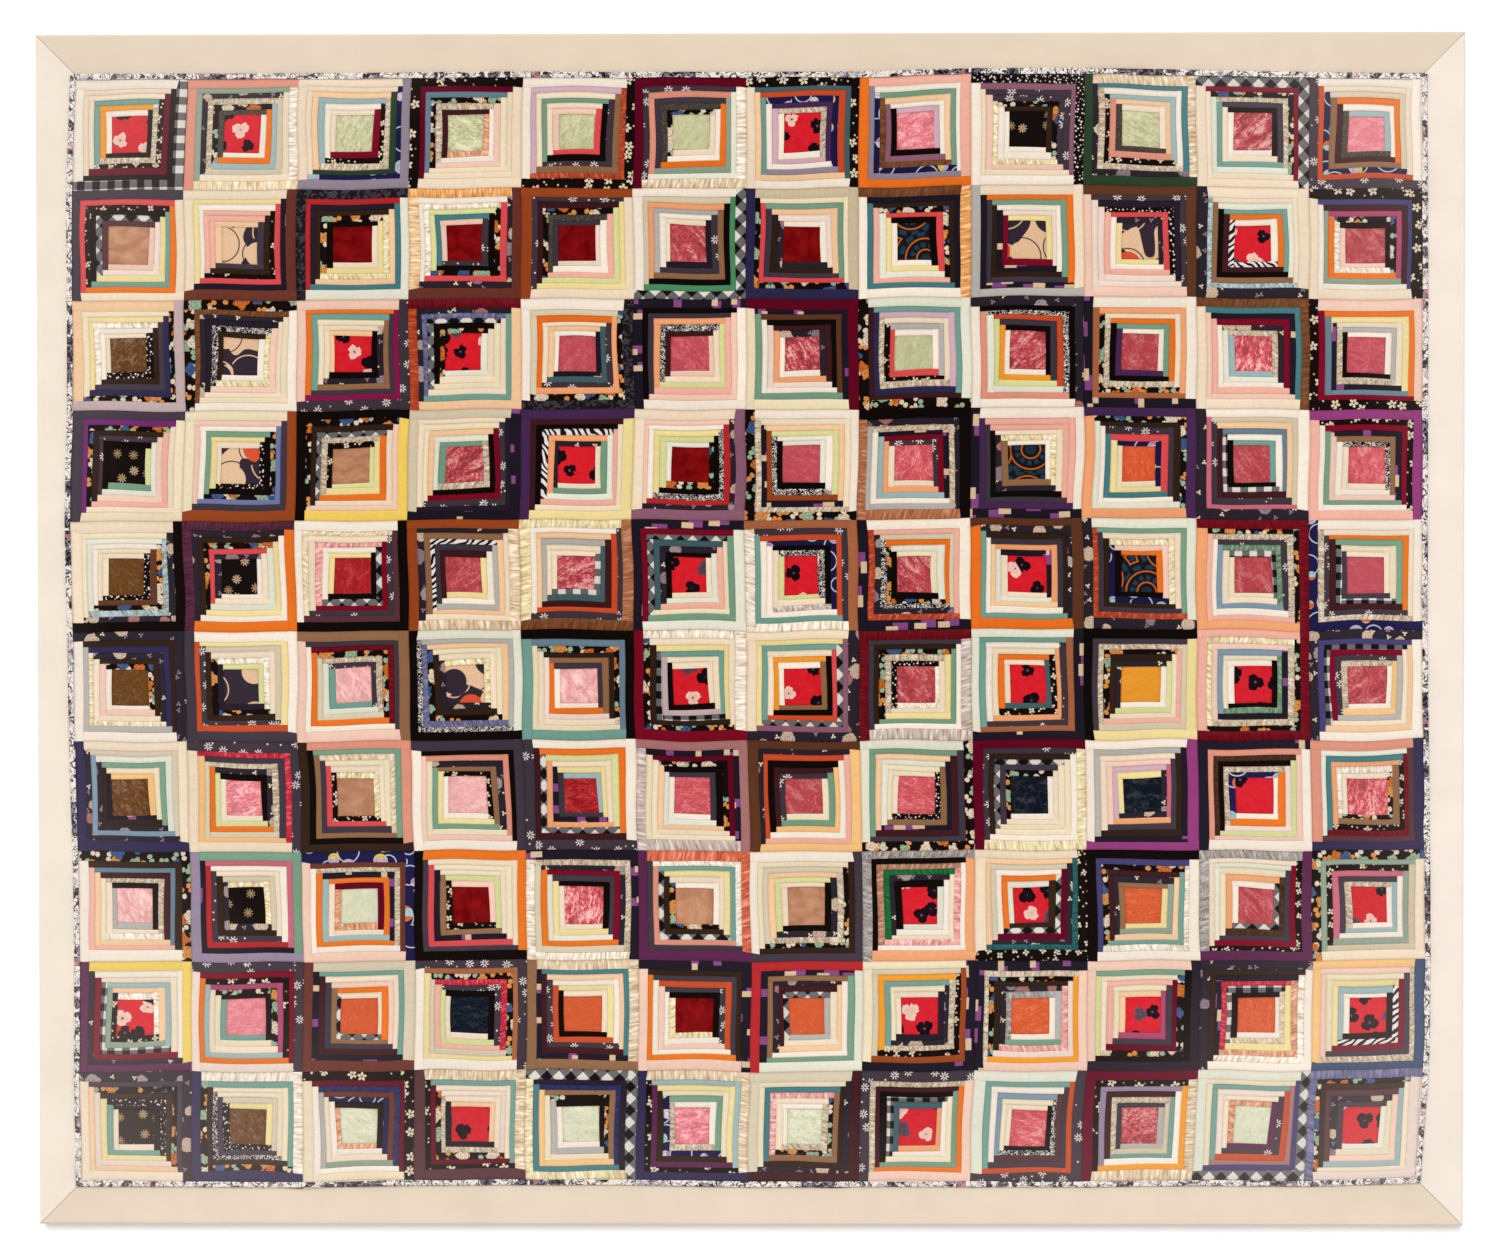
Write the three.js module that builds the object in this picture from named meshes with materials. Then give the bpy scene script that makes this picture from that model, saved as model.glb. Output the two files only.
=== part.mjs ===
// A log cabin quilt stretched flat on a cloth-faced wooden frame. Millimetres.
// The frame lies on its back: X to the right, Y to the quilt's top edge, Z up out of its face.
// The origin is the centre of the frame's footprint, on the surface that it rests on.

import * as THREE from 'three';

// Driving dimensions
const COLUMNS = 12;
const ROWS = 10;
const BLOCK_WIDTH = 152;
const BLOCK_HEIGHT = 149.6;
const BINDING_WIDTH = 8;
const FRAME_WIDTH = 1938;
const FRAME_HEIGHT = 1619;

const GAP = 0.3;
const RAIL_DEPTH = 25;
const RAIL_WIDTH = 66;
const BORDER_CLOTH = 1.5;
const BORDER_HEM_HEIGHT = 1.5;
const BORDER_FOLD_RADIUS = 1.4;
const BINDING_CLOTH = 0.8;
const QUILT_THICKNESS = 3;
const BLOCK_CROWN = 0.8;
const STEPS_PER_BLOCK = 4;

// How far the bound edge reaches past the straight quilt edge, at each block seam along it.
// Top and bottom run from left to right, left and right from top to bottom.
const EDGE_REACH = {
  top: [0, 0, 0, 1, 2, 1, 1, 1, 5, 5, 2, -1, -3],
  bottom: [2, 2, 3, 0, -1, -1, 2, 1, 1, 1, -1, 0, -5],
  left: [1, 7, 7, 7, 11, 8, 6, 2, 0, 1, -1],
  right: [-3, -2, -1, -1, -1, -1, 1, 3, 4, 2, -9],
};

// Sizes worked out from them
const QUILT_HALF_WIDTH = (COLUMNS * BLOCK_WIDTH) / 2 + BINDING_WIDTH;
const QUILT_HALF_HEIGHT = (ROWS * BLOCK_HEIGHT) / 2 + BINDING_WIDTH;
const RAIL_INSET = BORDER_CLOTH + GAP;
const BORDER_BOTTOM = RAIL_DEPTH + GAP;
const BORDER_TOP = BORDER_BOTTOM + BORDER_CLOTH;
const BINDING_BOTTOM = BORDER_TOP + GAP;
const QUILT_BOTTOM = BINDING_BOTTOM + BINDING_CLOTH + GAP;
const QUILT_TOP = QUILT_BOTTOM + QUILT_THICKNESS;
const BINDING_TOP = QUILT_TOP + GAP + BINDING_CLOTH;
const SHEET_INSET = BINDING_CLOTH + GAP;

const CLOTH_FINISH = { roughness: 0.95, metalness: 0 };
const quiltCloth = new THREE.MeshStandardMaterial({ color: 0x8a6f64, ...CLOTH_FINISH });
const bindingCloth = new THREE.MeshStandardMaterial({ color: 0x77767c, ...CLOTH_FINISH });
const borderCloth = new THREE.MeshStandardMaterial({ color: 0xf0e2ce, ...CLOTH_FINISH });
const railWood = new THREE.MeshStandardMaterial({ color: 0xc9a676, roughness: 0.7, metalness: 0 });

// The reach at any place along an edge: a smooth curve through the table, straight between half blocks
function edgeReach(table, station) {
  const smooth = (place) => {
    const first = Math.min(Math.floor(place), table.length - 2);
    const part = place - first;
    const at = (i) => table[Math.min(Math.max(i, 0), table.length - 1)];
    const [before, start, end, after] = [-1, 0, 1, 2].map((step) => at(first + step));
    const slopeIn = (end - before) / 2;
    const slopeOut = (after - start) / 2;
    const bend = 2 * (start - end) + slopeIn + slopeOut;
    const lean = 3 * (end - start) - 2 * slopeIn - slopeOut;
    return ((bend * part + lean) * part + slopeIn) * part + start;
  };
  const lower = Math.min(Math.floor(station * 2) / 2, table.length - 1.5);
  return THREE.MathUtils.lerp(smooth(lower), smooth(lower + 0.5), (station - lower) * 2);
}

// The bound edge of the quilt on each side, by its place in columns or rows
const outline = {
  top: (column) => QUILT_HALF_HEIGHT + edgeReach(EDGE_REACH.top, column),
  bottom: (column) => -QUILT_HALF_HEIGHT - edgeReach(EDGE_REACH.bottom, column),
  left: (row) => -QUILT_HALF_WIDTH - edgeReach(EDGE_REACH.left, row),
  right: (row) => QUILT_HALF_WIDTH + edgeReach(EDGE_REACH.right, row),
};

// A point of the quilt's face, a given distance inside its outline at the ends
function quiltPoint(column, row, inset) {
  const across = column / COLUMNS;
  const down = row / ROWS;
  const x = THREE.MathUtils.lerp(outline.left(row) + inset, outline.right(row) - inset, across);
  const y = THREE.MathUtils.lerp(outline.top(column) - inset, outline.bottom(column) + inset, down);
  return [x, y];
}

function meshFrom(name, positions, triangles, material) {
  const geometry = new THREE.BufferGeometry();
  geometry.setAttribute('position', new THREE.Float32BufferAttribute(positions.flat(), 3));
  geometry.setIndex(triangles.flat());
  geometry.computeVertexNormals();
  const mesh = new THREE.Mesh(geometry, material);
  mesh.name = name;
  return mesh;
}

// The quilt: each block's face is slightly crowned between its seams, and the back is flat
function makeQuilt() {
  const stations = (blocks) => {
    const inner = Array.from({ length: blocks * STEPS_PER_BLOCK + 1 }, (_, i) => i / STEPS_PER_BLOCK);
    return [null, ...inner, null];
  };
  const columnStations = stations(COLUMNS);
  const rowStations = stations(ROWS);
  const crown = (place) => (place === null ? 0 : Math.sin(Math.PI * place) ** 2);
  const settle = (station, index, last) => station ?? (index === 0 ? 0 : last);

  const positions = [];
  const indexOf = new Map();
  const addPoint = (key, point) => {
    indexOf.set(key, positions.length);
    positions.push(point);
  };
  rowStations.forEach((rowStation, j) => {
    columnStations.forEach((columnStation, i) => {
      const column = settle(columnStation, i, COLUMNS);
      const row = settle(rowStation, j, ROWS);
      const [rimX, rimY] = quiltPoint(column, row, SHEET_INSET);
      const [fieldX, fieldY] = quiltPoint(column, row, BINDING_WIDTH);
      const x = columnStation === null ? rimX : fieldX;
      const y = rowStation === null ? rimY : fieldY;
      const lift = BLOCK_CROWN * crown(columnStation) * crown(rowStation);
      addPoint(`top ${i} ${j}`, [x, y, QUILT_TOP + lift]);
    });
  });

  const triangles = [];
  const lastColumn = columnStations.length - 1;
  const lastRow = rowStations.length - 1;
  const top = (i, j) => indexOf.get(`top ${i} ${j}`);
  for (let j = 0; j < lastRow; j += 1) {
    for (let i = 0; i < lastColumn; i += 1) {
      triangles.push([top(i, j), top(i, j + 1), top(i + 1, j + 1)]);
      triangles.push([top(i, j), top(i + 1, j + 1), top(i + 1, j)]);
    }
  }

  // The rim, walked anticlockwise as seen from above, carries the edge walls and the flat back
  const rim = [];
  for (let j = 0; j < lastRow; j += 1) rim.push([0, j]);
  for (let i = 0; i < lastColumn; i += 1) rim.push([i, lastRow]);
  for (let j = lastRow; j > 0; j -= 1) rim.push([lastColumn, j]);
  for (let i = lastColumn; i > 0; i -= 1) rim.push([i, 0]);
  const firstBack = positions.length;
  const backOutline = rim.map(([i, j]) => {
    const [x, y] = positions[top(i, j)];
    positions.push([x, y, QUILT_BOTTOM]);
    return new THREE.Vector2(x, y);
  });
  rim.forEach(([i, j], place) => {
    const next = (place + 1) % rim.length;
    const here = top(i, j);
    const there = top(...rim[next]);
    triangles.push([firstBack + place, firstBack + next, there]);
    triangles.push([firstBack + place, there, here]);
  });
  THREE.ShapeUtils.triangulateShape(backOutline, []).forEach(([a, b, c]) => {
    triangles.push([firstBack + a, firstBack + c, firstBack + b]);
  });
  return meshFrom('quilt', positions, triangles, quiltCloth);
}

// A strip with one closed section, swept through a list of stations, with flat ends.
// placeAt(station, inward) gives x and y; the section's points are [inward, z], anticlockwise.
function sweptStrip(name, section, stations, placeAt, material) {
  const positions = stations.flatMap((station) =>
    section.map(([inward, z]) => [...placeAt(station, inward), z]),
  );
  const triangles = [];
  const count = section.length;
  for (let ring = 0; ring < stations.length - 1; ring += 1) {
    for (let k = 0; k < count; k += 1) {
      const here = ring * count + k;
      const beside = ring * count + ((k + 1) % count);
      triangles.push([here, beside, beside + count]);
      triangles.push([here, beside + count, here + count]);
    }
  }
  const lastRing = (stations.length - 1) * count;
  const flat = section.map(([inward, z]) => new THREE.Vector2(inward, z));
  THREE.ShapeUtils.triangulateShape(flat, []).forEach(([a, b, c]) => {
    triangles.push([a, c, b]);
    triangles.push([lastRing + a, lastRing + b, lastRing + c]);
  });
  return meshFrom(name, positions, triangles, material);
}

// The binding is folded over the quilt's edge, so its section is a flat hook open to the inside
const BINDING_SECTION = [
  [0, BINDING_BOTTOM + BINDING_CLOTH],
  [BINDING_CLOTH, BINDING_BOTTOM],
  [BINDING_WIDTH, BINDING_BOTTOM],
  [BINDING_WIDTH, BINDING_BOTTOM + BINDING_CLOTH],
  [BINDING_CLOTH, BINDING_BOTTOM + BINDING_CLOTH],
  [BINDING_CLOTH, BINDING_TOP - BINDING_CLOTH],
  [BINDING_WIDTH, BINDING_TOP - BINDING_CLOTH],
  [BINDING_WIDTH, BINDING_TOP],
  [BINDING_CLOTH, BINDING_TOP],
  [0, BINDING_TOP - BINDING_CLOTH],
];

function makeBinding(side) {
  const lies = side === 'top' || side === 'bottom';
  const blocks = lies ? COLUMNS : ROWS;
  const halfBlocks = Array.from({ length: blocks * 2 + 1 }, (_, i) => i / 2);
  // seen from outside the quilt, the strip is swept so that its section stays anticlockwise
  const stations = side === 'top' || side === 'right' ? halfBlocks.reverse() : halfBlocks;
  const inwardSign = side === 'top' || side === 'right' ? -1 : 1;
  const placeAt = (station, inward) => {
    const edge = outline[side](station) + inwardSign * inward;
    const mitre = inward + GAP / 2;
    const ends = { 0: mitre, [blocks]: -mitre };
    const cornerColumn = side === 'right' ? COLUMNS : 0;
    const cornerRow = side === 'bottom' ? ROWS : 0;
    const [x, y] = quiltPoint(lies ? station : cornerColumn, lies ? cornerRow : station, 0);
    if (lies) return [x + (ends[station] ?? 0), edge];
    return [edge, y - (ends[station] ?? 0)];
  };
  return sweptStrip(`binding_${side}`, BINDING_SECTION, stations, placeAt, bindingCloth);
}

// The border cloth covers a rail's face and folds down its outer side to a hem above the floor
const FOLD_STEPS = 3;
const fold = Array.from({ length: FOLD_STEPS + 1 }, (_, i) => {
  const angle = (Math.PI / 2) * (i / FOLD_STEPS);
  return [
    BORDER_FOLD_RADIUS * (1 - Math.sin(angle)),
    BORDER_TOP - BORDER_FOLD_RADIUS * (1 - Math.cos(angle)),
  ];
});
const BORDER_SECTION = [
  [0, BORDER_HEM_HEIGHT],
  [BORDER_CLOTH, BORDER_HEM_HEIGHT],
  [BORDER_CLOTH, BORDER_BOTTOM],
  [RAIL_INSET + RAIL_WIDTH, BORDER_BOTTOM],
  [RAIL_INSET + RAIL_WIDTH, BORDER_TOP],
  ...fold,
];
const RAIL_SECTION = [
  [RAIL_INSET, 0],
  [RAIL_INSET + RAIL_WIDTH, 0],
  [RAIL_INSET + RAIL_WIDTH, RAIL_DEPTH],
  [RAIL_INSET, RAIL_DEPTH],
];

// A straight mitred piece of the frame, made for the bottom side and turned into place
const SIDES = [
  { side: 'bottom', length: FRAME_WIDTH, across: FRAME_HEIGHT, turn: 0 },
  { side: 'right', length: FRAME_HEIGHT, across: FRAME_WIDTH, turn: Math.PI / 2 },
  { side: 'top', length: FRAME_WIDTH, across: FRAME_HEIGHT, turn: Math.PI },
  { side: 'left', length: FRAME_HEIGHT, across: FRAME_WIDTH, turn: -Math.PI / 2 },
];

function makeFramePiece(kind, section, material, { side, length, across, turn }) {
  const placeAt = (end, inward) => {
    const reach = length / 2 - inward - GAP / 2;
    return [end * reach, -across / 2 + inward];
  };
  const piece = sweptStrip(`${kind}_${side}`, section, [-1, 1], placeAt, material);
  piece.rotation.z = turn;
  return piece;
}

const group = new THREE.Group();
SIDES.forEach((place) => {
  group.add(makeFramePiece('rail', RAIL_SECTION, railWood, place));
  group.add(makeFramePiece('border', BORDER_SECTION, borderCloth, place));
  group.add(makeBinding(place.side));
});
group.add(makeQuilt());

export default group;
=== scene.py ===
"""The looks of a log cabin quilt on its stretcher frame, for Blender 4.5. Metres, in the CAD model's frame.

The quilt is ten pieced rows of twelve blocks, laid over the CAD quilt. Each block has a centre patch and six
rounds of four logs. The binding and the border cloth are folded strips, and the CAD rails keep their shape.
"""

import math

import bpy
import numpy as np
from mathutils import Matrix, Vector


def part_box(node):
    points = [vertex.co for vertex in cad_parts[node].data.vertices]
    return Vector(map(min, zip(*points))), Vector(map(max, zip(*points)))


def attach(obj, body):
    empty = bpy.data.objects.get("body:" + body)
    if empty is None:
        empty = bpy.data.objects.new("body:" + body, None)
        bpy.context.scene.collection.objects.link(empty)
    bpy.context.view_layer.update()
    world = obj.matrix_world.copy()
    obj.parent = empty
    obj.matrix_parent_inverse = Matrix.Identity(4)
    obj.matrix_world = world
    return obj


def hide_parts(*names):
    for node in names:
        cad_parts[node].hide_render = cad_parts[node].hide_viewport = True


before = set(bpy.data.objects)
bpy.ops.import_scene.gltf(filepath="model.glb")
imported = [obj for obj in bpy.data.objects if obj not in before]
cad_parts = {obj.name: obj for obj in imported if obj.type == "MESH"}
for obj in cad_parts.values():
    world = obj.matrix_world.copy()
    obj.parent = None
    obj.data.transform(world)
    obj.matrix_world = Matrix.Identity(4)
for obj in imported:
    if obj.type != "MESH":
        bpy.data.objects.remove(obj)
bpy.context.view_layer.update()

# Driving dimensions, the same as the CAD model's
MM = 0.001
COLUMNS = 12
ROWS = 10
BLOCK_WIDTH = 152 * MM
BLOCK_HEIGHT = 149.6 * MM
BINDING_WIDTH = 8 * MM
SHEET_INSET = 1.1 * MM
BLOCK_CROWN = 0.8 * MM
BORDER_FACE = 67.8 * MM
MITRE_GAP = 0.15 * MM
EDGE_REACH = {
    "top": [0, 0, 0, 1, 2, 1, 1, 1, 5, 5, 2, -1, -3],
    "bottom": [2, 2, 3, 0, -1, -1, 2, 1, 1, 1, -1, 0, -5],
    "left": [1, 7, 7, 7, 11, 8, 6, 2, 0, 1, -1],
    "right": [-3, -2, -1, -1, -1, -1, 1, 3, 4, 2, -9],
}

# Sizes worked out from them and from the frame
HALF_WIDTH = COLUMNS * BLOCK_WIDTH / 2 + BINDING_WIDTH
HALF_HEIGHT = ROWS * BLOCK_HEIGHT / 2 + BINDING_WIDTH
QUILT_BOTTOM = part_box("quilt")[0].z
QUILT_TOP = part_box("quilt")[1].z - BLOCK_CROWN
BINDING_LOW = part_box("binding_top")[0].z
BINDING_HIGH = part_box("binding_top")[1].z
BORDER_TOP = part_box("border_top")[1].z
BORDER_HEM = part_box("border_top")[0].z
FRAME_HALF_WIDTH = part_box("border_right")[1].x
FRAME_HALF_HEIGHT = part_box("border_top")[1].y
MITRE_OFFSET = FRAME_HALF_HEIGHT - FRAME_HALF_WIDTH

# How a block is pieced, as shares of its width
ROUNDS = 6
CENTRE_SHARE = 0.327
LOG_SHARE = 0.0503
OUTER_SHARE = (1 - CENTRE_SHARE) / 2 - (ROUNDS - 1) * LOG_SHARE
SEAM_DIP = 0.75 * MM
SEED = 1905

# The maker's small errors, as shares of a part's size, and of a block's width for the seams' lean and bow
CENTRE_ERROR = 0.03
MIDDLE_ERROR = 0.005
LOG_ERROR = 0.11
BLOCK_LEAN = 0.011
SEAM_LEAN = 0.6 * BLOCK_LEAN
SEAM_BOW = 0.3 * BLOCK_LEAN

# How the sewn quilt pulls in its plane, and how its face waves and its silks crinkle: height and wavelength
PULL, PULL_WAVE = 0.7 * MM, 0.13
FACE_WAVE, FACE_WAVELENGTH = 0.12 * MM, 0.05
CRINKLE, CRINKLE_WAVELENGTH = 0.16 * MM, 0.014

# Patches are cut from anywhere on a bolt of this size, nearly on the grain, which they miss by this angle
BOLT = 3.0
OFF_GRAIN = 0.06

# The piecing chart: a block's centre patch, then its light and its dark cloths from the inside
# out. Where the two logs of a round differ, both are named, in sewing order.
CHART = [
    """
    pansy | white gold teal cream cream white | black taupe sprig maroon black check
    pansy | white orange sky oyster cream snow/custard | tweed garden taupe roses sage salmon
    green-silk | cream white sky peach cream cream | crimson sprig taupe pine bubbles grey
    green-silk | shrimp white blush ivory cream cream | oxblood taupe garden steel maroon bloom
    green-silk | blush cream seagreen cream lilac white | coral black starry tan rust-satin bloom
    green-silk | cream white orange sage mint snow/champagne | garden tweed charcoal salmon starry maroon
    pansy | white lilac white grey/teal peach white/cream | taupe purple bubbles flame slate bloom
    pink-silk | lilac white peach seagreen white pink | black mauve bronze bubbles grey orange
    dahlia | white white straw blush cream white | umber garden starry starry mauve dots
    green-silk | cream peach sky white petrol champagne | tweed salmon sprig taupe roses pine
    rose-silk | white cream teal mint cream cream | black charcoal taupe garden crimson lozenge
    pink-silk | sky white orange oyster cream white | tweed oxblood tan bubbles flame starry
    """,
    """
    tan-velvet | blush shell butter teal orange cream | mulberry lozenge black sprig coral charcoal
    cutout | peach pink pink white butter cream | charcoal umber sprig coral patches brick
    red-velvet | cream butter straw peach petrol mint | black garden umber ink red brocade
    red-velvet | blush petrol lime snow white honey-satin/amber | starry black garden coral roses brick
    red-velvet | shell white pink lime butter cream | charcoal tweed garden oxblood starry rust
    rose-silk | cream white silver apricot oyster white | ink starry tan black green lozenge
    red-velvet | white shell peach seagreen ivory beige | roses umber charcoal coral garden navy
    rings | white butter mint pink petrol white | black coral garden umber patches bronze/amber
    cutout | butter shell white seagreen orange cream | crimson patches umber charcoal patches silver
    cutout | butter white pink shell shell blush | roses coral dots ink starry brown
    pansy | white orange teal mint cream cream | zebra oxblood black tan icy roses
    rose-silk | blush snow orange sage white cream | black garden raspberry oxblood indigo bloom
    """,
    """
    brown-velvet | cream white snow butter ivory peach | dots umber charcoal navy garden ash
    cutout | white straw blush cream ivory white | umber scribble ink roses bronze garden
    pansy | peach cream ivory teal orange blush | black roses tan charcoal magenta starry
    pansy | mint cream ivory cream teal peach | garden black lozenge hyacinth roses rust-satin/garnet
    rose-cloth | white peach cream orange oyster white | patches slate starry apricot garden brocade
    rose-cloth | blush cream lime pink blush white | oxblood scribble apricot charcoal black patches
    rose-silk | white apricot shell white seagreen ivory | roses oxblood black brown patches maroon
    green-silk | white silver cream lilac teal mint | coral sprig taupe navy oxblood garden
    rose-silk | white gold lime mint salmon white | black charcoal flame scribble black roses
    rose-silk | white seagreen orange cream apricot white | purple black taupe garden copper patches
    bright-silk | sky mint white pink blush cream | taupe roses crimson patches petrol bronze
    rose-cloth | white silver cream butter orange blush | black taupe patches steel crimson bloom
    """,
    """
    dahlia | lime/seagreen mint blush pink cream ivory | black starry umber garden violet charcoal
    cutout | cream butter seagreen white blush ivory | dots black garden periwinkle charcoal rust
    tan-velvet | lime butter orange cream blush yellow | sprig taupe lozenge umber garden black
    rose-silk | seagreen mint peach ivory cream oyster | taupe black crimson starry ink patches
    pansy | cream seagreen mint pink cream butter | roses apricot zebra black oxblood purple
    red-velvet | mint lime butter white blush cream | garden black scribble red roses mauve
    rose-cloth | mint white lime peach cream white | black scribble rust patches taupe garden
    bright-silk | cream apricot sky white silver copper-satin | starry crimson patches taupe roses black
    rings | white straw cream pink pink white | tan roses black charcoal purple patches
    orange-linen | ivory butter petrol white mint apricot | bubbles coral starry umber garden purple
    rose-silk | teal white steel peach oyster white | black check oxblood starry rosepink roses
    bright-silk | cream white blush seagreen white pink | scribble tan patches crimson bloom orchid
    """,
    """
    brown-velvet | cream ivory white mint ivory cream | dots brown garden icy roses black
    dahlia | white cream mint butter white orange | roses coral garden umber roses plum-satin
    ruby-silk | butter white pink-satin cream custard white | black lozenge crimson starry mulberry black
    rose-silk | butter white silver peach cream champagne | oxblood charcoal zebra tan roses rust
    rose-silk | cream cream silver peach white straw | check slate oxblood flame starry copper-satin/bronze
    pansy | cream mint pink ivory seagreen mint | black roses slate lozenge crimson patches
    pansy | lime cream pearl/white white teal snow | scribble black bubbles flame starry copper
    rose-silk | ivory mint orange oyster pink white | black garden scribble roses rust-satin patches
    pansy | cream mint peach white teal orange | patches apricot charcoal umber roses brown
    rings | orange blush custard cream seagreen mint | black bubbles umber charcoal rust-satin roses
    rose-silk | ivory cream skyblue white pink apricot | check laurel starry taupe garden garnet
    rose-cloth | cream ivory seagreen orange cream white | charcoal check oxblood starry taupe bubbles
    """,
    """
    brown-velvet | white blush cream custard silver white | garden umber roses navy umber roses
    cutout | lime snow cream oyster butter white | ink garden umber starry flame charcoal
    petal-silk | teal mint oyster orange white blush | starry taupe garden garnet charcoal tan
    cutout | straw cream ivory peach silver mint | roses umber garden hyacinth scribble black
    petal-silk | white orange shell cream ivory teal | charcoal tan umber garden steel black
    pansy | cream ivory teal butter cream snow | black ash check umber garden crimson
    pansy | white gold cream teal butter cream | tan black coral/flame lozenge mauve roses
    rose-silk | snow cream butter seagreen white pearl | dots taupe garden umber charcoal garnet
    pansy | cream orange ivory white teal mint | slate sprig apricot starry copper patches
    gold-cloth | white lime cream pink oyster butter | roses umber garden taupe charcoal black
    pansy | white ivory skyblue blush straw pink | black laurel patches taupe garden garnet
    rose-silk | white honey silver cream peach white | taupe starry crimson check indigo roses
    """,
    """
    brown-velvet | honey ivory seagreen mint oyster cream | patches umber roses skyblue roses navy
    pink-silk | cream lime orange oyster honey cream | black roses taupe charcoal cerise starry
    tan-velvet | straw cream ivory champagne seagreen salmon | sprig coral charcoal tan black umber
    petal-silk | white butter seagreen ivory blush white | sprig tan roses salmon black charcoal
    ruby-silk | sky butter cream lime orange white | charcoal patches apricot lozenge oxblood starry
    bright-silk | white mint peach cream ivory pearl | charcoal black garden maroon patches rosewood
    rose-silk | ivory seagreen honey white pink honey | starry oxblood black flame roses brown
    bright-silk | cream ivory mint peach seagreen mint | dots tan patches oxblood charcoal garden
    navy-silk | white cream ivory ivory white straw | garden charcoal lozenge umber starry maroon
    navy-silk | butter lilac blush cream silver white | roses rosepink/apricot charcoal umber patches orchid
    pansy | white orange shell lime blush white | bubbles taupe black cocoa salmon patches
    bright-silk | cream snow apricot petrol mint salmon | garden tan sprig garnet mulberry navy
    """,
    """
    petal-silk | silver cream snow/ivory peach pink white | black taupe oxblood steel umber garden
    dahlia | straw oyster cream white rosepink seagreen | roses umber starry red patches lavender
    pale-silk | shrimp cream sky orange white blush | maroon orange patches taupe brick bubbles
    red-velvet | blush lime cream ivory cream orange | sprig tan patches coral charcoal black
    bright-silk | cream butter mint orange oyster snow | black charcoal crimson roses taupe patches
    tan-velvet | white cream butter teal snow coral-satin | garden umber lozenge salmon charcoal plum
    tan-velvet | cream lime peach oyster ivory white | black roses taupe garden umber charcoal
    pansy | mint white cream pink-satin white apricot | black roses emerald fawn black pewter
    pansy | mint orange white oyster peach cream | umber lozenge maroon roses peacock sprig
    orange-linen | butter sage peach teal snow white | tan roses oxblood garden indigo black
    rose-silk | white apricot ivory mint cream pewter | lozenge cocoa charcoal crimson sprig plum
    pansy | white sky white sage beige cream | taupe charcoal rosepink sprig sage garden
    """,
    """
    pansy | snow peach sky cream white yellow | sprig sage check crimson roses plum
    pink-silk | teal ivory cream sky orange shell | black garden raspberry bloom crimson starry
    orange-linen | cream orange blush cream teal oyster | lozenge tan charcoal oxblood patches brick
    navy-silk | cream lime pink oyster butter white | black starry cerise garden copper starry
    orange-linen | cream butter white peach petrol champagne | black flame starry oxblood patches tan
    red-velvet | straw white blush white orange blush | black starry flame charcoal umber patches
    orange-linen | silver cream peach white seagreen mint | lozenge oxblood roses tan patches red
    pansy | cream ivory teal gold oyster ivory | ink roses taupe sprig rust patches
    orange-linen | white silver/seagreen pink-satin shell gold blush | pewter roses umber garden taupe patches
    pansy | peach ivory pink cream lime/seagreen blush | raspberry charcoal maroon garden black ink
    orange-linen | white champagne butter shrimp snow white | black check cerise patches umber roses
    pansy | white sky butter ivory blush honey | black zebra crimson charcoal taupe denim
    """,
    """
    dahlia | cream teal butter shell peach cream | black dots umber garden charcoal roses
    brown-velvet | butter oyster cream ivory teal snow | dots charcoal scribble umber garden navy
    pale-silk | shrimp white cream sage/silver white ivory | black bubbles brick navy-satin maroon bloom
    pansy | peach cream shell cream teal champagne | patches taupe garden maroon bloom mulberry
    pale-silk | white silver ivory honey petrol straw | black garden tan navy-satin ink lozenge
    pink-silk | white seagreen ivory butter sky champagne | taupe bubbles umber plum bloom navy
    pale-silk | white cream pink-satin petrol ivory oyster | taupe garden tan umber roses oxblood
    pansy | apricot white ivory seagreen orange blush | slate check black oxblood taupe starry
    bright-silk | cream ivory skyblue white teal mint | black scribble mulberry charcoal flame starry
    rose-silk | silver beige teal white gold champagne | charcoal taupe oxblood lavender bloom maroon
    pale-silk | shrimp cream shell teal ivory mint | plum starry flame rosewood indigo lozenge
    pansy | mint ivory blush sky cream shell | charcoal roses mulberry umber garden hyacinth
    """,
]
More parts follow.
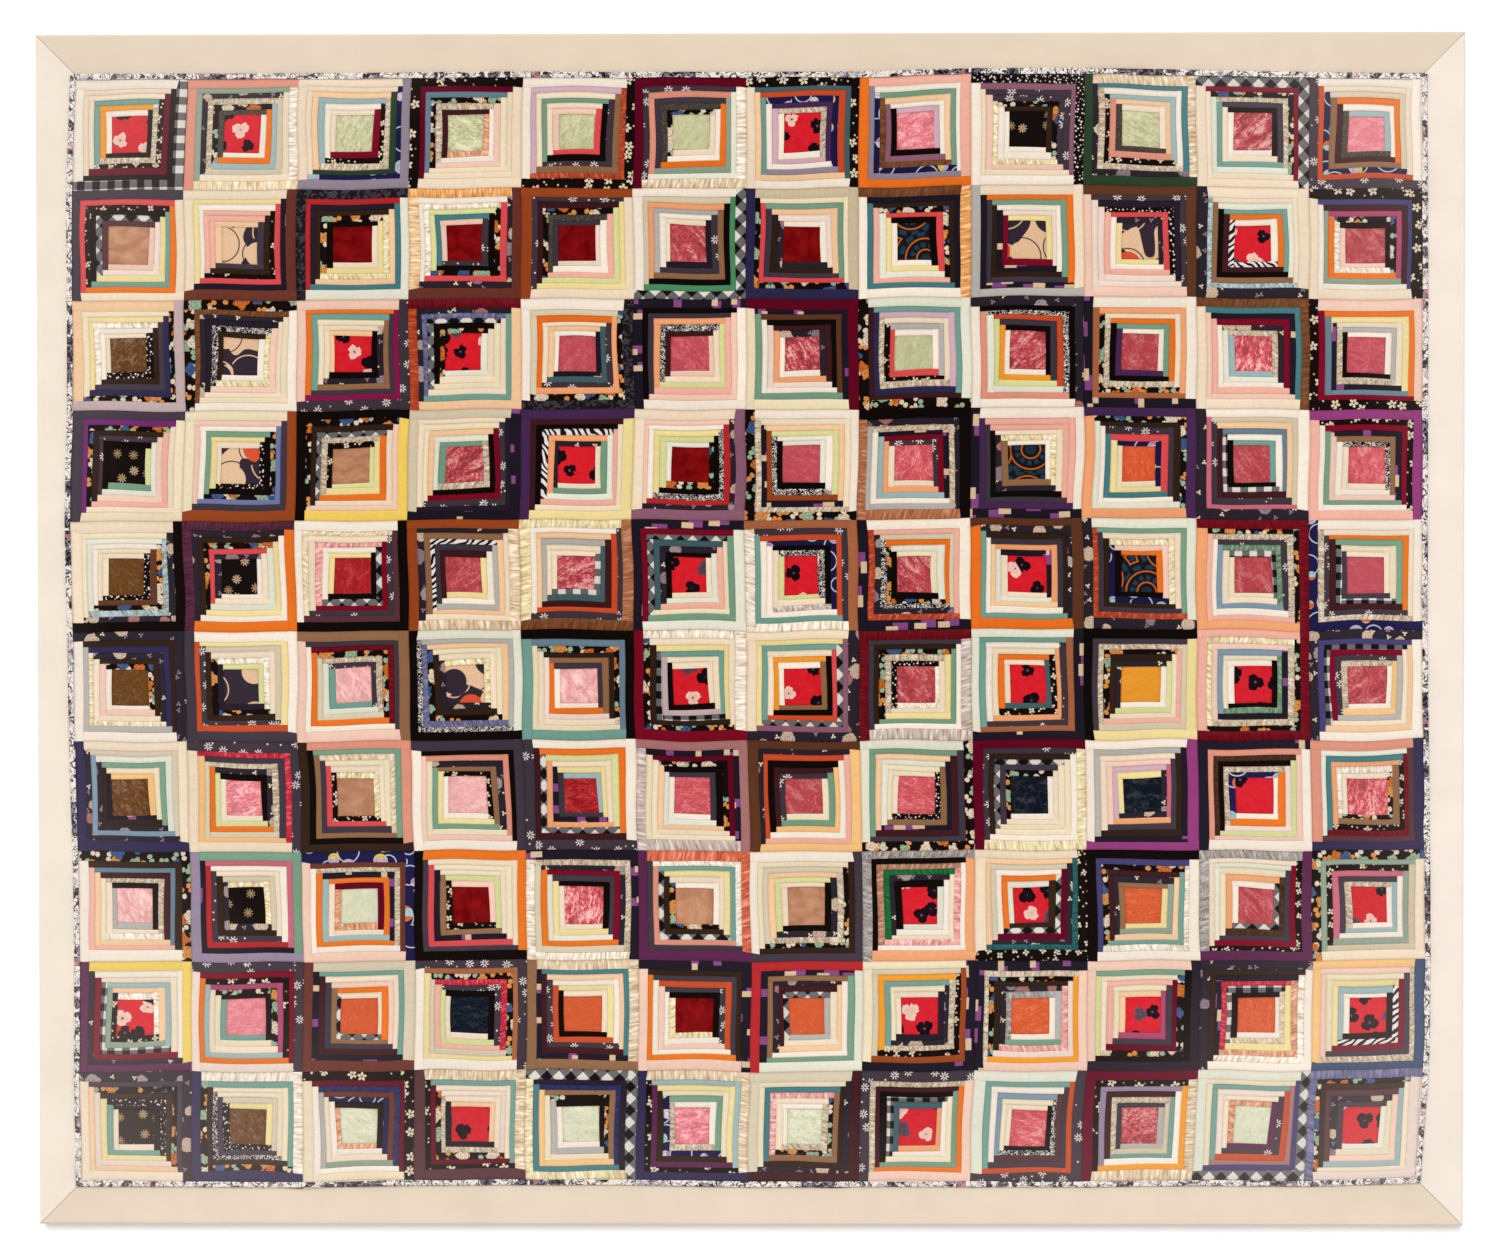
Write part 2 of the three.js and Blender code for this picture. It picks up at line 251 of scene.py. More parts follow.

# Dyes of the plain wools and crepes, as sRGB
PLAIN = {
    "white": (249, 239, 226),
    "cream": (244, 227, 203),
    "ivory": (241, 228, 198),
    "shell": (241, 223, 212),
    "blush": (245, 209, 192),
    "peach": (247, 208, 168),
    "apricot": (243, 172, 124),
    "honey": (247, 200, 138),
    "pink": (244, 186, 170),
    "butter": (242, 225, 164),
    "lime": (222, 224, 164),
    "mint": (233, 234, 219),
    "seagreen": (126, 165, 141),
    "teal": (122, 167, 156),
    "petrol": (78, 132, 140),
    "sky": (164, 190, 192),
    "skyblue": (134, 158, 178),
    "steel": (112, 136, 154),
    "silver": (186, 184, 180),
    "oyster": (219, 208, 184),
    "lilac": (214, 182, 197),
    "salmon": (226, 154, 134),
    "sage": (150, 168, 150),
    "beige": (212, 198, 170),
    "orange": (238, 124, 44),
    "gold": (246, 163, 54),
    "yellow": (246, 215, 110),
    "grey": (150, 141, 156),
    "ash": (200, 180, 182),
    "tan": (150, 112, 82),
    "copper": (172, 108, 74),
    "rosewood": (172, 122, 122),
    "rosepink": (205, 112, 132),
    "mauve": (146, 102, 122),
    "lavender": (158, 142, 168),
    "orchid": (150, 66, 128),
    "violet": (118, 52, 118),
    "plum": (98, 46, 84),
    "purple": (80, 50, 92),
    "periwinkle": (120, 130, 178),
    "indigo": (74, 70, 118),
    "navy": (54, 50, 86),
    "denim": (62, 84, 118),
    "slate": (76, 104, 110),
    "pine": (50, 72, 52),
    "green": (84, 148, 108),
    "black": (24, 18, 17),
    "ink": (45, 37, 50),
    "charcoal": (72, 64, 76),
    "umber": (56, 41, 32),
    "brown": (102, 64, 44),
    "brick": (112, 60, 50),
    "rust": (158, 78, 40),
    "flame": (206, 86, 50),
    "coral": (222, 84, 88),
    "red": (186, 48, 52),
    "crimson": (130, 20, 44),
    "maroon": (104, 15, 41),
    "oxblood": (70, 35, 39),
    "mulberry": (92, 58, 64),
    "magenta": (136, 32, 80),
    "raspberry": (178, 80, 118),
}

# Ribbons and satins, which pucker across the log, and those of them that have a fleck of another colour
FLECKED = ("taupe", "icy", "pewter")
SATINS = {
    "snow": (248, 238, 224),
    "champagne": (228, 208, 178),
    "custard": (245, 230, 194),
    "honey-satin": (247, 214, 168),
    "laurel": (112, 146, 122),
    "straw": (242, 229, 184),
    "pearl": (208, 194, 190),
    "pewter": (172, 168, 168),
    "taupe": (210, 196, 174),
    "icy": (172, 194, 202),
    "pink-satin": (242, 172, 170),
    "shrimp": (226, 164, 128),
    "amber": (240, 176, 104),
    "coral-satin": (224, 116, 86),
    "cerise": (204, 46, 70),
    "garnet": (114, 14, 30),
    "plum-satin": (88, 44, 66),
    "copper-satin": (180, 118, 82),
    "rust-satin": (184, 76, 40),
    "bronze": (122, 78, 48),
    "fawn": (184, 136, 112),
    "cocoa": (74, 50, 36),
    "peacock": (42, 100, 104),
    "emerald": (32, 112, 64),
    "navy-satin": (44, 50, 100),
    "hyacinth": (112, 114, 156),
}

# What a cloth gives back of its dye under this light, where the quilt's old cloths are a little darker, and
# what the cloth's own gloss adds
AGED = (0.875, 0.845, 0.81)
COTTON = (0.91, 0.91, 0.91)
GLOSS_ADDS = 0.002
DARKEST = 0.0012
# Painted shade, multiplied into the cloth in the seams' ditches
SEAM_SHADE = (0.56, 0.42, 0.34, 1.0)

# Painted reflection: a pale haze of glare is screened over the cloths towards the corners, most at the foot,
# and least a little above the middle
GLARE_HAZE = (0.57, 0.46, 0.42, 1.0)
LEAST_GLARE_Y = 0.08

# The colours are deepest in the middle and above it
DEEPEST_GAMMA = 1.1
DEEPEST_Y = 0.25


def dye(red, green, blue, kept=AGED):
    """An sRGB colour from 0 to 255 as a linear shader colour, with the cloth's age and gloss allowed for."""
    linear = [((value / 255 + 0.055) / 1.055) ** 2.4 for value in (red, green, blue)]
    return (*[max(value * share - GLOSS_ADDS, DARKEST) for value, share in zip(linear, kept)], 1.0)


def scaled(colour, factor):
    """The colour made lighter or darker."""
    return (*[min(value * factor, 0.95) for value in colour[:3]], 1.0)


class Recipe:
    """A material's node tree, with short names for what the cloths below are made of."""

    def __init__(self, name, roughness=0.85, gloss=0.03):
        self.material = bpy.data.materials.new(name)
        self.material.use_nodes = True
        self.tree = self.material.node_tree
        self.shader = self.tree.nodes["Principled BSDF"]
        self.shader.inputs["Roughness"].default_value = roughness
        self.shader.inputs["Specular IOR Level"].default_value = gloss

    def feed(self, socket, value):
        if isinstance(value, bpy.types.NodeSocket):
            self.tree.links.new(value, socket)
        else:
            socket.default_value = value

    def node(self, kind, feeds, **settings):
        node = self.tree.nodes.new("ShaderNode" + kind)
        for key, value in settings.items():
            setattr(node, key, value)
        for key, value in feeds.items():
            self.feed(node.inputs[key], value)
        return node

    def math(self, operation, first, second=0.0, third=0.0):
        return self.node("Math", {0: first, 1: second, 2: third}, operation=operation).outputs[0]

    def times(self, first, second):
        return self.math("MULTIPLY", first, second)

    def away(self, value, level):
        """How far the value is from the level, either way."""
        return self.math("ABSOLUTE", self.math("SUBTRACT", value, level))

    def wave(self, value, length):
        return self.math("SINE", self.times(value, math.tau / length))

    def ramp(self, value, low, high, start=0.0, end=1.0):
        feeds = {"Value": value, "From Min": low, "From Max": high, "To Min": start, "To Max": end}
        return self.node("MapRange", feeds).outputs[0]

    def vector(self, operation, first, second=(0.0, 0.0, 0.0)):
        return self.node("VectorMath", {0: first, 1: second}, operation=operation).outputs["Vector"]

    def moved(self, place, x, y):
        return self.vector("ADD", place, (x, y, 0.0))

    def stretched(self, place, x, y):
        return self.vector("MULTIPLY", place, (x, y, 1.0))

    def turned(self, place, angle):
        return self.node("VectorRotate", {"Vector": place, "Angle": angle}).outputs[0]

    def split(self, vector):
        return self.node("SeparateXYZ", {0: vector}).outputs

    def joined(self, x, y):
        return self.node("CombineXYZ", {0: x, 1: y}).outputs[0]

    def mix(self, share, first, second, blend="MIX"):
        feeds = {0: share, 6: first, 7: second}
        return self.node("Mix", feeds, data_type="RGBA", blend_type=blend).outputs[2]

    def shaded(self, colour, shade):
        return self.mix(1.0, colour, shade, "MULTIPLY")

    def noise(self, place, size, detail=2.0, twist=0.0):
        feeds = {"Vector": place, "Scale": 1 / size, "Detail": detail, "Distortion": twist}
        return self.node("TexNoise", feeds).outputs[0]

    def attribute(self, name):
        return self.node("Attribute", {}, attribute_name=name)

    def cloth(self):
        """Where a point is on its cloth, in metres, at a different place on the bolt for every patch."""
        return self.attribute("cloth").outputs["Vector"]

    def patch(self):
        """A point's way along its log in metres, its share of the way across, and its patch's own number."""
        return self.split(self.attribute("log").outputs["Vector"])

    def world_place(self):
        return self.node("TexCoord", {}).outputs["Object"]

    def weave(self, place, pitch=0.7 * MM):
        """The height of a plain weave with uneven threads."""
        x, y, _ = self.split(place)
        threads = self.times(self.math("ADD", self.wave(x, pitch), self.wave(y, pitch)), 0.25)
        return self.math("ADD", threads, self.noise(place, 1.6 * MM, detail=3.0))

    def reach(self, centre_y):
        """How far out a point is from the height given, squared, with 1 at the quilt's edges."""
        x, y, _ = self.split(self.world_place())
        wide = self.math("DIVIDE", x, HALF_WIDTH)
        tall = self.math("DIVIDE", self.math("SUBTRACT", y, centre_y), HALF_HEIGHT)
        return self.math("ADD", self.times(wide, wide), self.times(tall, tall))

    def finish(self, colour, relief, depth, seam_shade=0.7, tone=0.05, glare=0.18):
        """Joins colour and relief to the shader, with each patch's tone, soiling, painted shade in the seams
        and a painted reflection, a pale haze of glare.
        """
        own = self.ramp(self.patch()[2], 0.0, 1.0, 1 - tone, 1 + tone)
        soiling = self.ramp(self.noise(self.world_place(), 70 * MM, detail=3.0), 0.3, 0.7, 0.965, 1.02)
        colour = self.shaded(colour, self.times(own, soiling))
        # Painted shade in the seams' ditches, warm, and strongest right at the seam
        seam_shade_mask = self.math("POWER", self.attribute("seam").outputs["Fac"], 5.0)
        colour = self.mix(self.times(seam_shade_mask, seam_shade), colour, SEAM_SHADE, "MULTIPLY")
        deepening = self.ramp(self.reach(DEEPEST_Y), 0.25, 0.9, DEEPEST_GAMMA, 1.0)
        colour = self.node("Gamma", {"Color": colour, "Gamma": deepening}).outputs[0]
        # Painted reflection: a pale haze of glare, screened on towards the corners
        glare_share = self.ramp(self.reach(LEAST_GLARE_Y), 0.9, 2.3, 0.0, glare)
        colour = self.mix(glare_share, colour, GLARE_HAZE, "SCREEN")
        self.feed(self.shader.inputs["Base Color"], colour)
        self.bump(relief, depth)
        return self.material

    def bump(self, relief, depth):
        normal = self.node("Bump", {"Height": relief, "Distance": depth}).outputs[0]
        self.feed(self.shader.inputs["Normal"], normal)


# Plain cloths

# How much further on in its noise each patch starts, for a whole step of its own number
OWN_SHIFT = 80.0


def plain_cloth(name, *tone):
    """A wool or crepe with a fine uneven weave, a little drawn up along its seams, with painted shade and
    light on the ripples.
    """
    recipe = Recipe(name)
    place = recipe.cloth()
    along, across, number = recipe.patch()
    own = recipe.math("MULTIPLY_ADD", number, OWN_SHIFT, across)
    ripples = recipe.noise(recipe.joined(recipe.math("DIVIDE", along, 6 * MM), own), 1.0)
    slubs = recipe.noise(recipe.stretched(place, 1.0, 0.2), 1.8 * MM)
    colour = recipe.shaded(dye(*tone), recipe.ramp(slubs, 0.3, 0.7, 0.965, 1.03))
    # Painted shade and light: the ripples' colour follows their height, a few percent darker and lighter
    colour = recipe.shaded(colour, recipe.ramp(ripples, 0.3, 0.7, 0.97, 1.03))
    relief = recipe.math("MULTIPLY_ADD", ripples, 2.2, recipe.weave(place))
    return recipe.finish(colour, relief, 0.12 * MM)


def puckered_satin(name, *tone):
    """A satin ribbon drawn up along its seams, so that it puckers across its width, with painted shade
    between the puckers and painted highlights on them.
    """
    colour = dye(*tone)
    paleness = sum(colour[:3]) / 3
    recipe = Recipe(name, roughness=0.45, gloss=0.04 + 0.12 * paleness)
    along, across, number = recipe.patch()
    lean = recipe.times(recipe.math("SUBTRACT", number, 0.5), 9 * MM)
    slanted = recipe.math("MULTIPLY_ADD", across, lean, along)
    width = recipe.math("MULTIPLY_ADD", across, 0.55, recipe.times(number, OWN_SHIFT))
    puckers, glints = [
        recipe.noise(recipe.joined(recipe.math("DIVIDE", slanted, size), width), 1.0, detail, twist)
        for size, detail, twist in ((3.2 * MM, 2.0, 0.15), (4.6 * MM, 1.0, 0.2))
    ]
    # Painted light: highlights on the glints, stronger on paler satins, and a warm painted shade between the
    # puckers
    shine = 0.1 if name in FLECKED else min(max(0.9 * paleness - 0.1, 0.0), 0.6)
    bright = recipe.mix(shine, scaled(colour, 1.3), (0.9, 0.86, 0.78, 1.0))
    painted_pucker_shade = recipe.shaded(colour, (0.68, 0.57, 0.45, 1.0))
    colour = recipe.mix(recipe.ramp(puckers, 0.36, 0.54), painted_pucker_shade, colour)
    colour = recipe.mix(recipe.ramp(glints, 0.51, 0.66), colour, bright)
    if name in FLECKED:
        flecks = recipe.noise(recipe.stretched(recipe.cloth(), 1.0, 0.4), 1.5 * MM, detail=1.0)
        colour = recipe.mix(recipe.ramp(flecks, 0.56, 0.64, 0.0, 0.55), colour, dye(74, 62, 60))
    folds = recipe.math("MULTIPLY_ADD", glints, 0.8, puckers)
    return recipe.finish(colour, folds, 1.2 * MM, seam_shade=0.8)


def crushed_silk(name, tone, low, high, lean, crease):
    """A centre patch of crushed silk: leaning folds, a fine crinkle and a few sharp creases, with painted
    shade in the folds and painted highlights on them and along the creases.
    """
    colour = dye(*tone)
    paleness = sum(colour[:3]) / 3
    recipe = Recipe(name, roughness=0.5, gloss=0.04 + 0.16 * paleness)
    place = recipe.cloth()
    turned = recipe.turned(place, lean)
    broad = recipe.noise(recipe.stretched(turned, 1.0, 0.4), crease, twist=1.1)
    crinkle = recipe.noise(recipe.stretched(turned, 1.0, 0.5), 2.2 * MM, twist=0.6)
    folds = recipe.math("ADD", recipe.times(broad, 0.55), recipe.times(crinkle, 0.45))
    ridge = recipe.away(recipe.noise(place, 34 * MM, detail=0.0, twist=0.8), 0.5)
    # Painted shade in the folds and painted highlights on them and on the creases, stronger on some patches
    # than others
    crushed = recipe.ramp(recipe.patch()[2], 0.2, 0.9, 0.5, 1.7)
    bright = recipe.mix(high, colour, (0.95, 0.8, 0.74, 1.0))
    colour = recipe.mix(recipe.times(recipe.ramp(folds, 0.5, 0.38), crushed), colour, scaled(colour, low))
    colour = recipe.mix(recipe.times(recipe.ramp(folds, 0.52, 0.66), crushed), colour, bright)
    colour = recipe.mix(recipe.ramp(ridge, 0.0, 0.01, 0.4, 0.0), colour, bright)
    return recipe.finish(colour, folds, 1.2 * MM, tone=0.08)


def velvet(name, tone, sheen_tone):
    """A velvet whose nap is brushed softly uneven, with a painted sheen in its sheen colour on the nap and
    the pile.
    """
    colour, bloom = dye(*tone), dye(*sheen_tone)
    recipe = Recipe(name, roughness=0.95)
    recipe.shader.inputs["Sheen Weight"].default_value = 0.2
    recipe.shader.inputs["Sheen Tint"].default_value = bloom
    place = recipe.cloth()
    nap = recipe.noise(recipe.stretched(place, 1.0, 0.6), 13 * MM, detail=4.0, twist=0.5)
    pile = recipe.noise(place, 0.6 * MM)
    # Painted sheen: the nap's lighter patches and the pile's specks take the sheen colour
    colour = recipe.mix(recipe.ramp(nap, 0.35, 0.7), scaled(colour, 0.86), bloom)
    colour = recipe.mix(recipe.ramp(pile, 0.3, 0.7, 0.0, 0.14), colour, bloom)
    return recipe.finish(colour, pile, 0.25 * MM, tone=0.08)


# Printed cloths


def nearest_spot(recipe, place, spacing, looseness):
    """Spots on the cloth about one spacing apart: the way from the nearest one, and its three numbers."""
    feeds = {"Vector": place, "Scale": 1 / spacing, "Randomness": looseness}
    spots = recipe.node("TexVoronoi", feeds, voronoi_dimensions="2D")
    x, y, _ = recipe.split(recipe.vector("SUBTRACT", place, spots.outputs["Position"]))
    return x, y, recipe.split(spots.outputs["Color"])


def scattered(recipe, place, spacing, looseness=0.75, slip=0.0):
    """The same spots, with the distance and the angle from the nearest one."""
    x, y, numbers = nearest_spot(recipe, recipe.moved(place, slip, slip * 0.6), spacing, looseness)
    angle = recipe.math("MULTIPLY_ADD", numbers[0], math.tau, recipe.math("ARCTAN2", y, x))
    distance = recipe.math("SQRT", recipe.math("ADD", recipe.times(x, x), recipe.times(y, y)))
    return distance, angle, numbers


def inside(recipe, distance, edge, soft=0.35 * MM):
    """1 where the distance is within the edge, with a soft rim."""
    return recipe.ramp(recipe.math("SUBTRACT", edge, distance), -soft, soft)


def petals(recipe, distance, angle, count, radius, fullness):
    """A flower's petals; with a fullness near 1 they touch, and with less they are narrow rays."""
    swing = recipe.math("ABSOLUTE", recipe.math("COSINE", recipe.times(angle, count / 2)))
    reach = recipe.math("SQRT", recipe.ramp(swing, 1 - fullness, 1.0))
    return inside(recipe, distance, recipe.times(reach, radius))


def palette(recipe, number, colours):
    """One of the colours, picked by a number from 0 to 1."""
    picked = colours[0]
    for index, colour in enumerate(colours[1:], 1):
        picked = recipe.mix(recipe.math("GREATER_THAN", number, index / len(colours)), picked, colour)
    return picked


def ruffled(recipe, place, distance, amount, size):
    """The distance made uneven, so that a motif's outline is as if drawn by hand."""
    uneven = recipe.math("SUBTRACT", recipe.noise(place, size, detail=1.0), 0.5)
    return recipe.math("MULTIPLY_ADD", uneven, amount, distance)


def petal_lines(recipe, distance, angle, turn, start, share, edge):
    """A line that winds round and outwards inside a motif, for its petals' folds."""
    spiral = recipe.wave(recipe.math("MULTIPLY_ADD", angle, 0.7 * MM, distance), turn)
    return recipe.times(recipe.ramp(spiral, start, 0.95, 0.0, share), inside(recipe, distance, edge))


def printed_cloth(name, draw, *details):
    """A cloth on which a function draws the colours, with its ink a little worn, on a plain weave."""
    recipe = Recipe(name, *SURFACES.get(name, ()))
    place = recipe.cloth()
    worn = recipe.ramp(recipe.noise(place, 2.6 * MM, detail=3.0), 0.3, 0.7, 0.9, 1.07)
    colour = recipe.shaded(draw(recipe, place, *details), worn)
    return recipe.finish(colour, recipe.weave(place), 0.1 * MM)


CREAM_INK = dye(232, 216, 190)
WHITE_INK = dye(240, 234, 228)
BLACK_GROUND = dye(28, 21, 19)


def small_flowers(recipe, place, ground, flowers, count, radius, spacing, fullness, extras, share):
    """Small flowers of one kind, with a second scatter of little leaves or dots between them."""
    distance, angle, numbers = scattered(recipe, place, spacing)
    speck, _, speck_numbers = scattered(recipe, place, spacing * 0.55, 1.0, 37 * MM)
    seen = recipe.math("LESS_THAN", speck_numbers[0], share)
    seen = recipe.times(inside(recipe, speck, 1.2 * MM), seen)
    colour = recipe.mix(seen, ground, palette(recipe, speck_numbers[1], extras))
    bloom = petals(recipe, distance, angle, count, radius, fullness)
    colour = recipe.mix(bloom, colour, palette(recipe, numbers[1], flowers))
    colour = recipe.mix(inside(recipe, distance, radius * 0.2), colour, ground)
    return colour


def garden(recipe, place):
    """Rounded flowers and long leaves in soft colours, close together on black."""
    tones = [(206, 116, 54), (72, 98, 142), (158, 184, 158), (230, 212, 190), (220, 150, 84)]
    colours = [dye(*tone) for tone in tones]
    leaf, leaf_angle, leaf_numbers = scattered(recipe, place, 17 * MM, 1.0, 53 * MM)
    leaf = ruffled(recipe, place, leaf, 2.4 * MM, 3 * MM)
    blade = petals(recipe, leaf, leaf_angle, 2, 6.5 * MM, 0.75)
    colour = recipe.mix(blade, BLACK_GROUND, palette(recipe, leaf_numbers[1], colours[2:]))
    distance, angle, numbers = scattered(recipe, place, 26 * MM, 0.85)
    distance = ruffled(recipe, place, distance, 5 * MM, 5 * MM)
    wobble = recipe.math("MULTIPLY_ADD", recipe.math("COSINE", recipe.times(angle, 4.0)), 0.14, 0.86)
    size = recipe.times(recipe.ramp(numbers[2], 0.0, 1.0, 6 * MM, 11 * MM), wobble)
    colour = recipe.mix(inside(recipe, distance, size), colour, palette(recipe, numbers[1], colours))
    lines = petal_lines(recipe, distance, angle, 4.2 * MM, 0.8, 0.7, size)
    return recipe.mix(lines, colour, BLACK_GROUND)


def roses(recipe, place):
    """Full grey and tan blossoms with darker petal lines, on blue black."""
    ground = dye(50, 44, 54)
    tones = [(202, 178, 162), (176, 158, 158), (214, 192, 170), (150, 132, 144), (176, 122, 120)]
    blossoms = [dye(*tone) for tone in tones]
    sprigs, sprig_angle, sprig_numbers = scattered(recipe, place, 21 * MM, 1.0, 29 * MM)
    sprig = petals(recipe, sprigs, sprig_angle, 3, 3.4 * MM, 0.6)
    colour = recipe.mix(sprig, ground, palette(recipe, sprig_numbers[1], [CREAM_INK, dye(150, 130, 140)]))
    distance, angle, numbers = scattered(recipe, place, 43 * MM, 0.8)
    distance = ruffled(recipe, place, distance, 5 * MM, 5 * MM)
    size = recipe.ramp(numbers[2], 0.0, 1.0, 6.0 * MM, 10.5 * MM)
    colour = recipe.mix(inside(recipe, distance, size), colour, palette(recipe, numbers[1], blossoms))
    lines = petal_lines(recipe, distance, angle, 3.7 * MM, 0.7, 0.6, size)
    return recipe.mix(lines, colour, ground)


def patches(recipe, place):
    """Oblong tan and orchid patches, far apart on blue black."""
    colour = dye(38, 34, 46)
    for slip, half_wide, half_tall, tone in (
        (0.0, 10 * MM, 5.4 * MM, dye(140, 82, 142)),
        (11 * MM, 8 * MM, 4 * MM, dye(220, 194, 162)),
    ):
        x, y, _ = nearest_spot(recipe, recipe.moved(place, slip, slip * 0.3), 46 * MM, 0.6)
        wide = inside(recipe, recipe.math("ABSOLUTE", x), half_wide, 0.25 * MM)
        tall = inside(recipe, recipe.math("ABSOLUTE", y), half_tall, 0.25 * MM)
        colour = recipe.mix(recipe.times(wide, tall), colour, tone)
    return colour


def bubbles(recipe, place):
    """Pale rounds, some banded in yellow or orange, and loose white rings, on navy."""
    ground = dye(36, 34, 78)
    rounds = [dye(196, 178, 212), dye(222, 212, 222), dye(172, 212, 212), dye(198, 184, 216)]
    bands = [dye(226, 204, 92), dye(190, 150, 190), dye(226, 112, 60), dye(160, 200, 200)]
    hoop, _, hoop_numbers = scattered(recipe, place, 40 * MM, 0.9, 71 * MM)
    rim = recipe.away(hoop, recipe.ramp(hoop_numbers[2], 0.0, 1.0, 9 * MM, 17 * MM))
    colour = recipe.mix(inside(recipe, rim, 0.75 * MM, 0.3 * MM), ground, dye(196, 214, 226))
    distance, _, numbers = scattered(recipe, place, 38 * MM, 0.9)
    size = recipe.ramp(numbers[2], 0.0, 1.0, 5.5 * MM, 10.5 * MM)
    banded = recipe.ramp(recipe.wave(recipe.split(place)[1], 17 * MM), 0.3, 0.36)
    fill = recipe.mix(banded, palette(recipe, numbers[1], rounds), palette(recipe, numbers[1], bands))
    colour = recipe.mix(inside(recipe, distance, size), colour, fill)
    inner = inside(recipe, recipe.away(distance, recipe.times(size, 0.62)), 0.4 * MM)
    return recipe.mix(recipe.times(inner, 0.5), colour, ground)


def dots(recipe, place):
    """White specks of uneven size, close together on black."""
    distance, _, numbers = scattered(recipe, place, 5.2 * MM, 0.9)
    size = recipe.ramp(numbers[2], 0.0, 1.0, 0.45 * MM, 1.35 * MM)
    return recipe.mix(inside(recipe, distance, size), BLACK_GROUND, WHITE_INK)


def scribble_colour(recipe, place, size, ink, ground):
    """Loose loops of line, from the level lines of two twisted noises."""
    colour = ground
    for slip in (0.0, 0.4):
        field = recipe.noise(recipe.vector("ADD", place, (slip, slip, 0.0)), size, detail=1.0, twist=1.8)
        colour = recipe.mix(inside(recipe, recipe.away(field, 0.5), 0.022, 0.01), colour, ink)
    return colour


def scribble(recipe, place):
    """White scribbled lines on black."""
    return scribble_colour(recipe, place, 9 * MM, WHITE_INK, dye(30, 26, 34))


def zebra(recipe, place):
    """Bold black brush strokes that run together, on white."""
    x, y, _ = recipe.split(place)
    slant = recipe.times(recipe.math("MULTIPLY_ADD", y, 0.8, x), math.tau / (10 * MM))
    bend = recipe.times(recipe.noise(place, 22 * MM, detail=1.0), 15.0)
    stripes = recipe.ramp(recipe.math("SINE", recipe.math("ADD", slant, bend)), 0.0, 0.2)
    return recipe.mix(stripes, WHITE_INK, dye(34, 32, 48))


def gingham(recipe, place, square, turn):
    """Even checks of white, grey and black, straight or on the bias."""
    x, y, _ = recipe.split(recipe.turned(place, turn))
    warp, weft = [recipe.ramp(recipe.wave(axis, 2 * square), -0.06, 0.06) for axis in (x, y)]
    share = recipe.times(recipe.math("ADD", warp, weft), 0.5)
    dark = recipe.mix(recipe.ramp(share, 0.5, 1.0), dye(112, 112, 114), dye(28, 26, 30))
    return recipe.mix(recipe.ramp(share, 0.0, 0.5), dye(226, 222, 214), dark)


def figured(recipe, place, ground, figure, size, low, high):
    """A cloth whose weave or print shows as a small uneven figure."""
    field = recipe.noise(place, size, detail=4.0, twist=1.2)
    return recipe.mix(recipe.ramp(field, low, high), dye(*ground), dye(*figure))


def pansy(recipe, place):
    """Large pansies in black, blush and grey violet, on red."""
    ground = recipe.mix(recipe.noise(place, 9 * MM, detail=3.0), dye(208, 26, 44), dye(232, 52, 62))
    black, black_line = dye(26, 18, 26), dye(54, 38, 52)
    heads = [black, black, dye(96, 78, 92), black, dye(244, 208, 194), black, black]
    lines = [black_line, black_line, dye(36, 26, 36), black_line, dye(206, 132, 126), black_line, black_line]
    distance, angle, numbers = scattered(recipe, place, 34 * MM, 0.85)
    distance = ruffled(recipe, place, distance, 6 * MM, 5 * MM)
    swing = recipe.math("ABSOLUTE", recipe.math("COSINE", recipe.times(angle, 1.5)))
    size = recipe.ramp(numbers[2], 0.0, 1.0, 8.5 * MM, 12.5 * MM)
    edge = recipe.times(size, recipe.math("MULTIPLY_ADD", recipe.math("SQRT", swing), 0.45, 0.55))
    colour = recipe.mix(inside(recipe, distance, edge), ground, palette(recipe, numbers[1], heads))
    rays = recipe.ramp(recipe.math("COSINE", recipe.times(angle, 13.0)), 0.55, 0.9)
    near = inside(recipe, distance, recipe.times(edge, 0.6), 1.5 * MM)
    veins = recipe.times(recipe.times(rays, near), 0.75)
    colour = recipe.mix(veins, colour, palette(recipe, numbers[1], lines))
    heart = inside(recipe, distance, 1.0 * MM)
    return recipe.mix(heart, colour, dye(128, 96, 100))


def dahlia(recipe, place):
    """Many-petalled tan flowers with orange hearts, on black velvet."""
    distance, angle, numbers = scattered(recipe, place, 26 * MM, 0.8)
    distance = recipe.math("MULTIPLY_ADD", recipe.noise(place, 2.2 * MM), 4 * MM, distance)
    flower = petals(recipe, distance, angle, 9, 8.5 * MM, 0.85)
    petal = palette(recipe, numbers[1], [dye(190, 166, 130), dye(160, 140, 112), dye(214, 190, 160)])
    colour = recipe.mix(recipe.times(flower, 0.9), BLACK_GROUND, petal)
    colour = recipe.mix(inside(recipe, distance, 3.8 * MM, 0.8 * MM), colour, dye(196, 130, 70))
    return colour


def cutout(recipe, place):
    """Large plain rounds and curved fields in tan, plum black and orange red."""
    dark, tan, orange = dye(60, 50, 62), dye(232, 198, 164), dye(222, 92, 64)
    field = recipe.noise(place, 46 * MM, detail=0.0, twist=0.4)
    colour = recipe.mix(recipe.ramp(field, 0.49, 0.5), dark, tan)
    distance, _, numbers = scattered(recipe, place, 46 * MM, 0.8)
    size = recipe.ramp(numbers[2], 0.0, 1.0, 16 * MM, 21 * MM)
    fill = palette(recipe, numbers[1], [orange, tan, dark])
    colour = recipe.mix(inside(recipe, distance, size), colour, fill)
    ring = inside(recipe, recipe.away(distance, recipe.times(size, 1.25)), 0.8 * MM)
    line = palette(recipe, numbers[1], [dark, dark, tan])
    return recipe.mix(ring, colour, line)


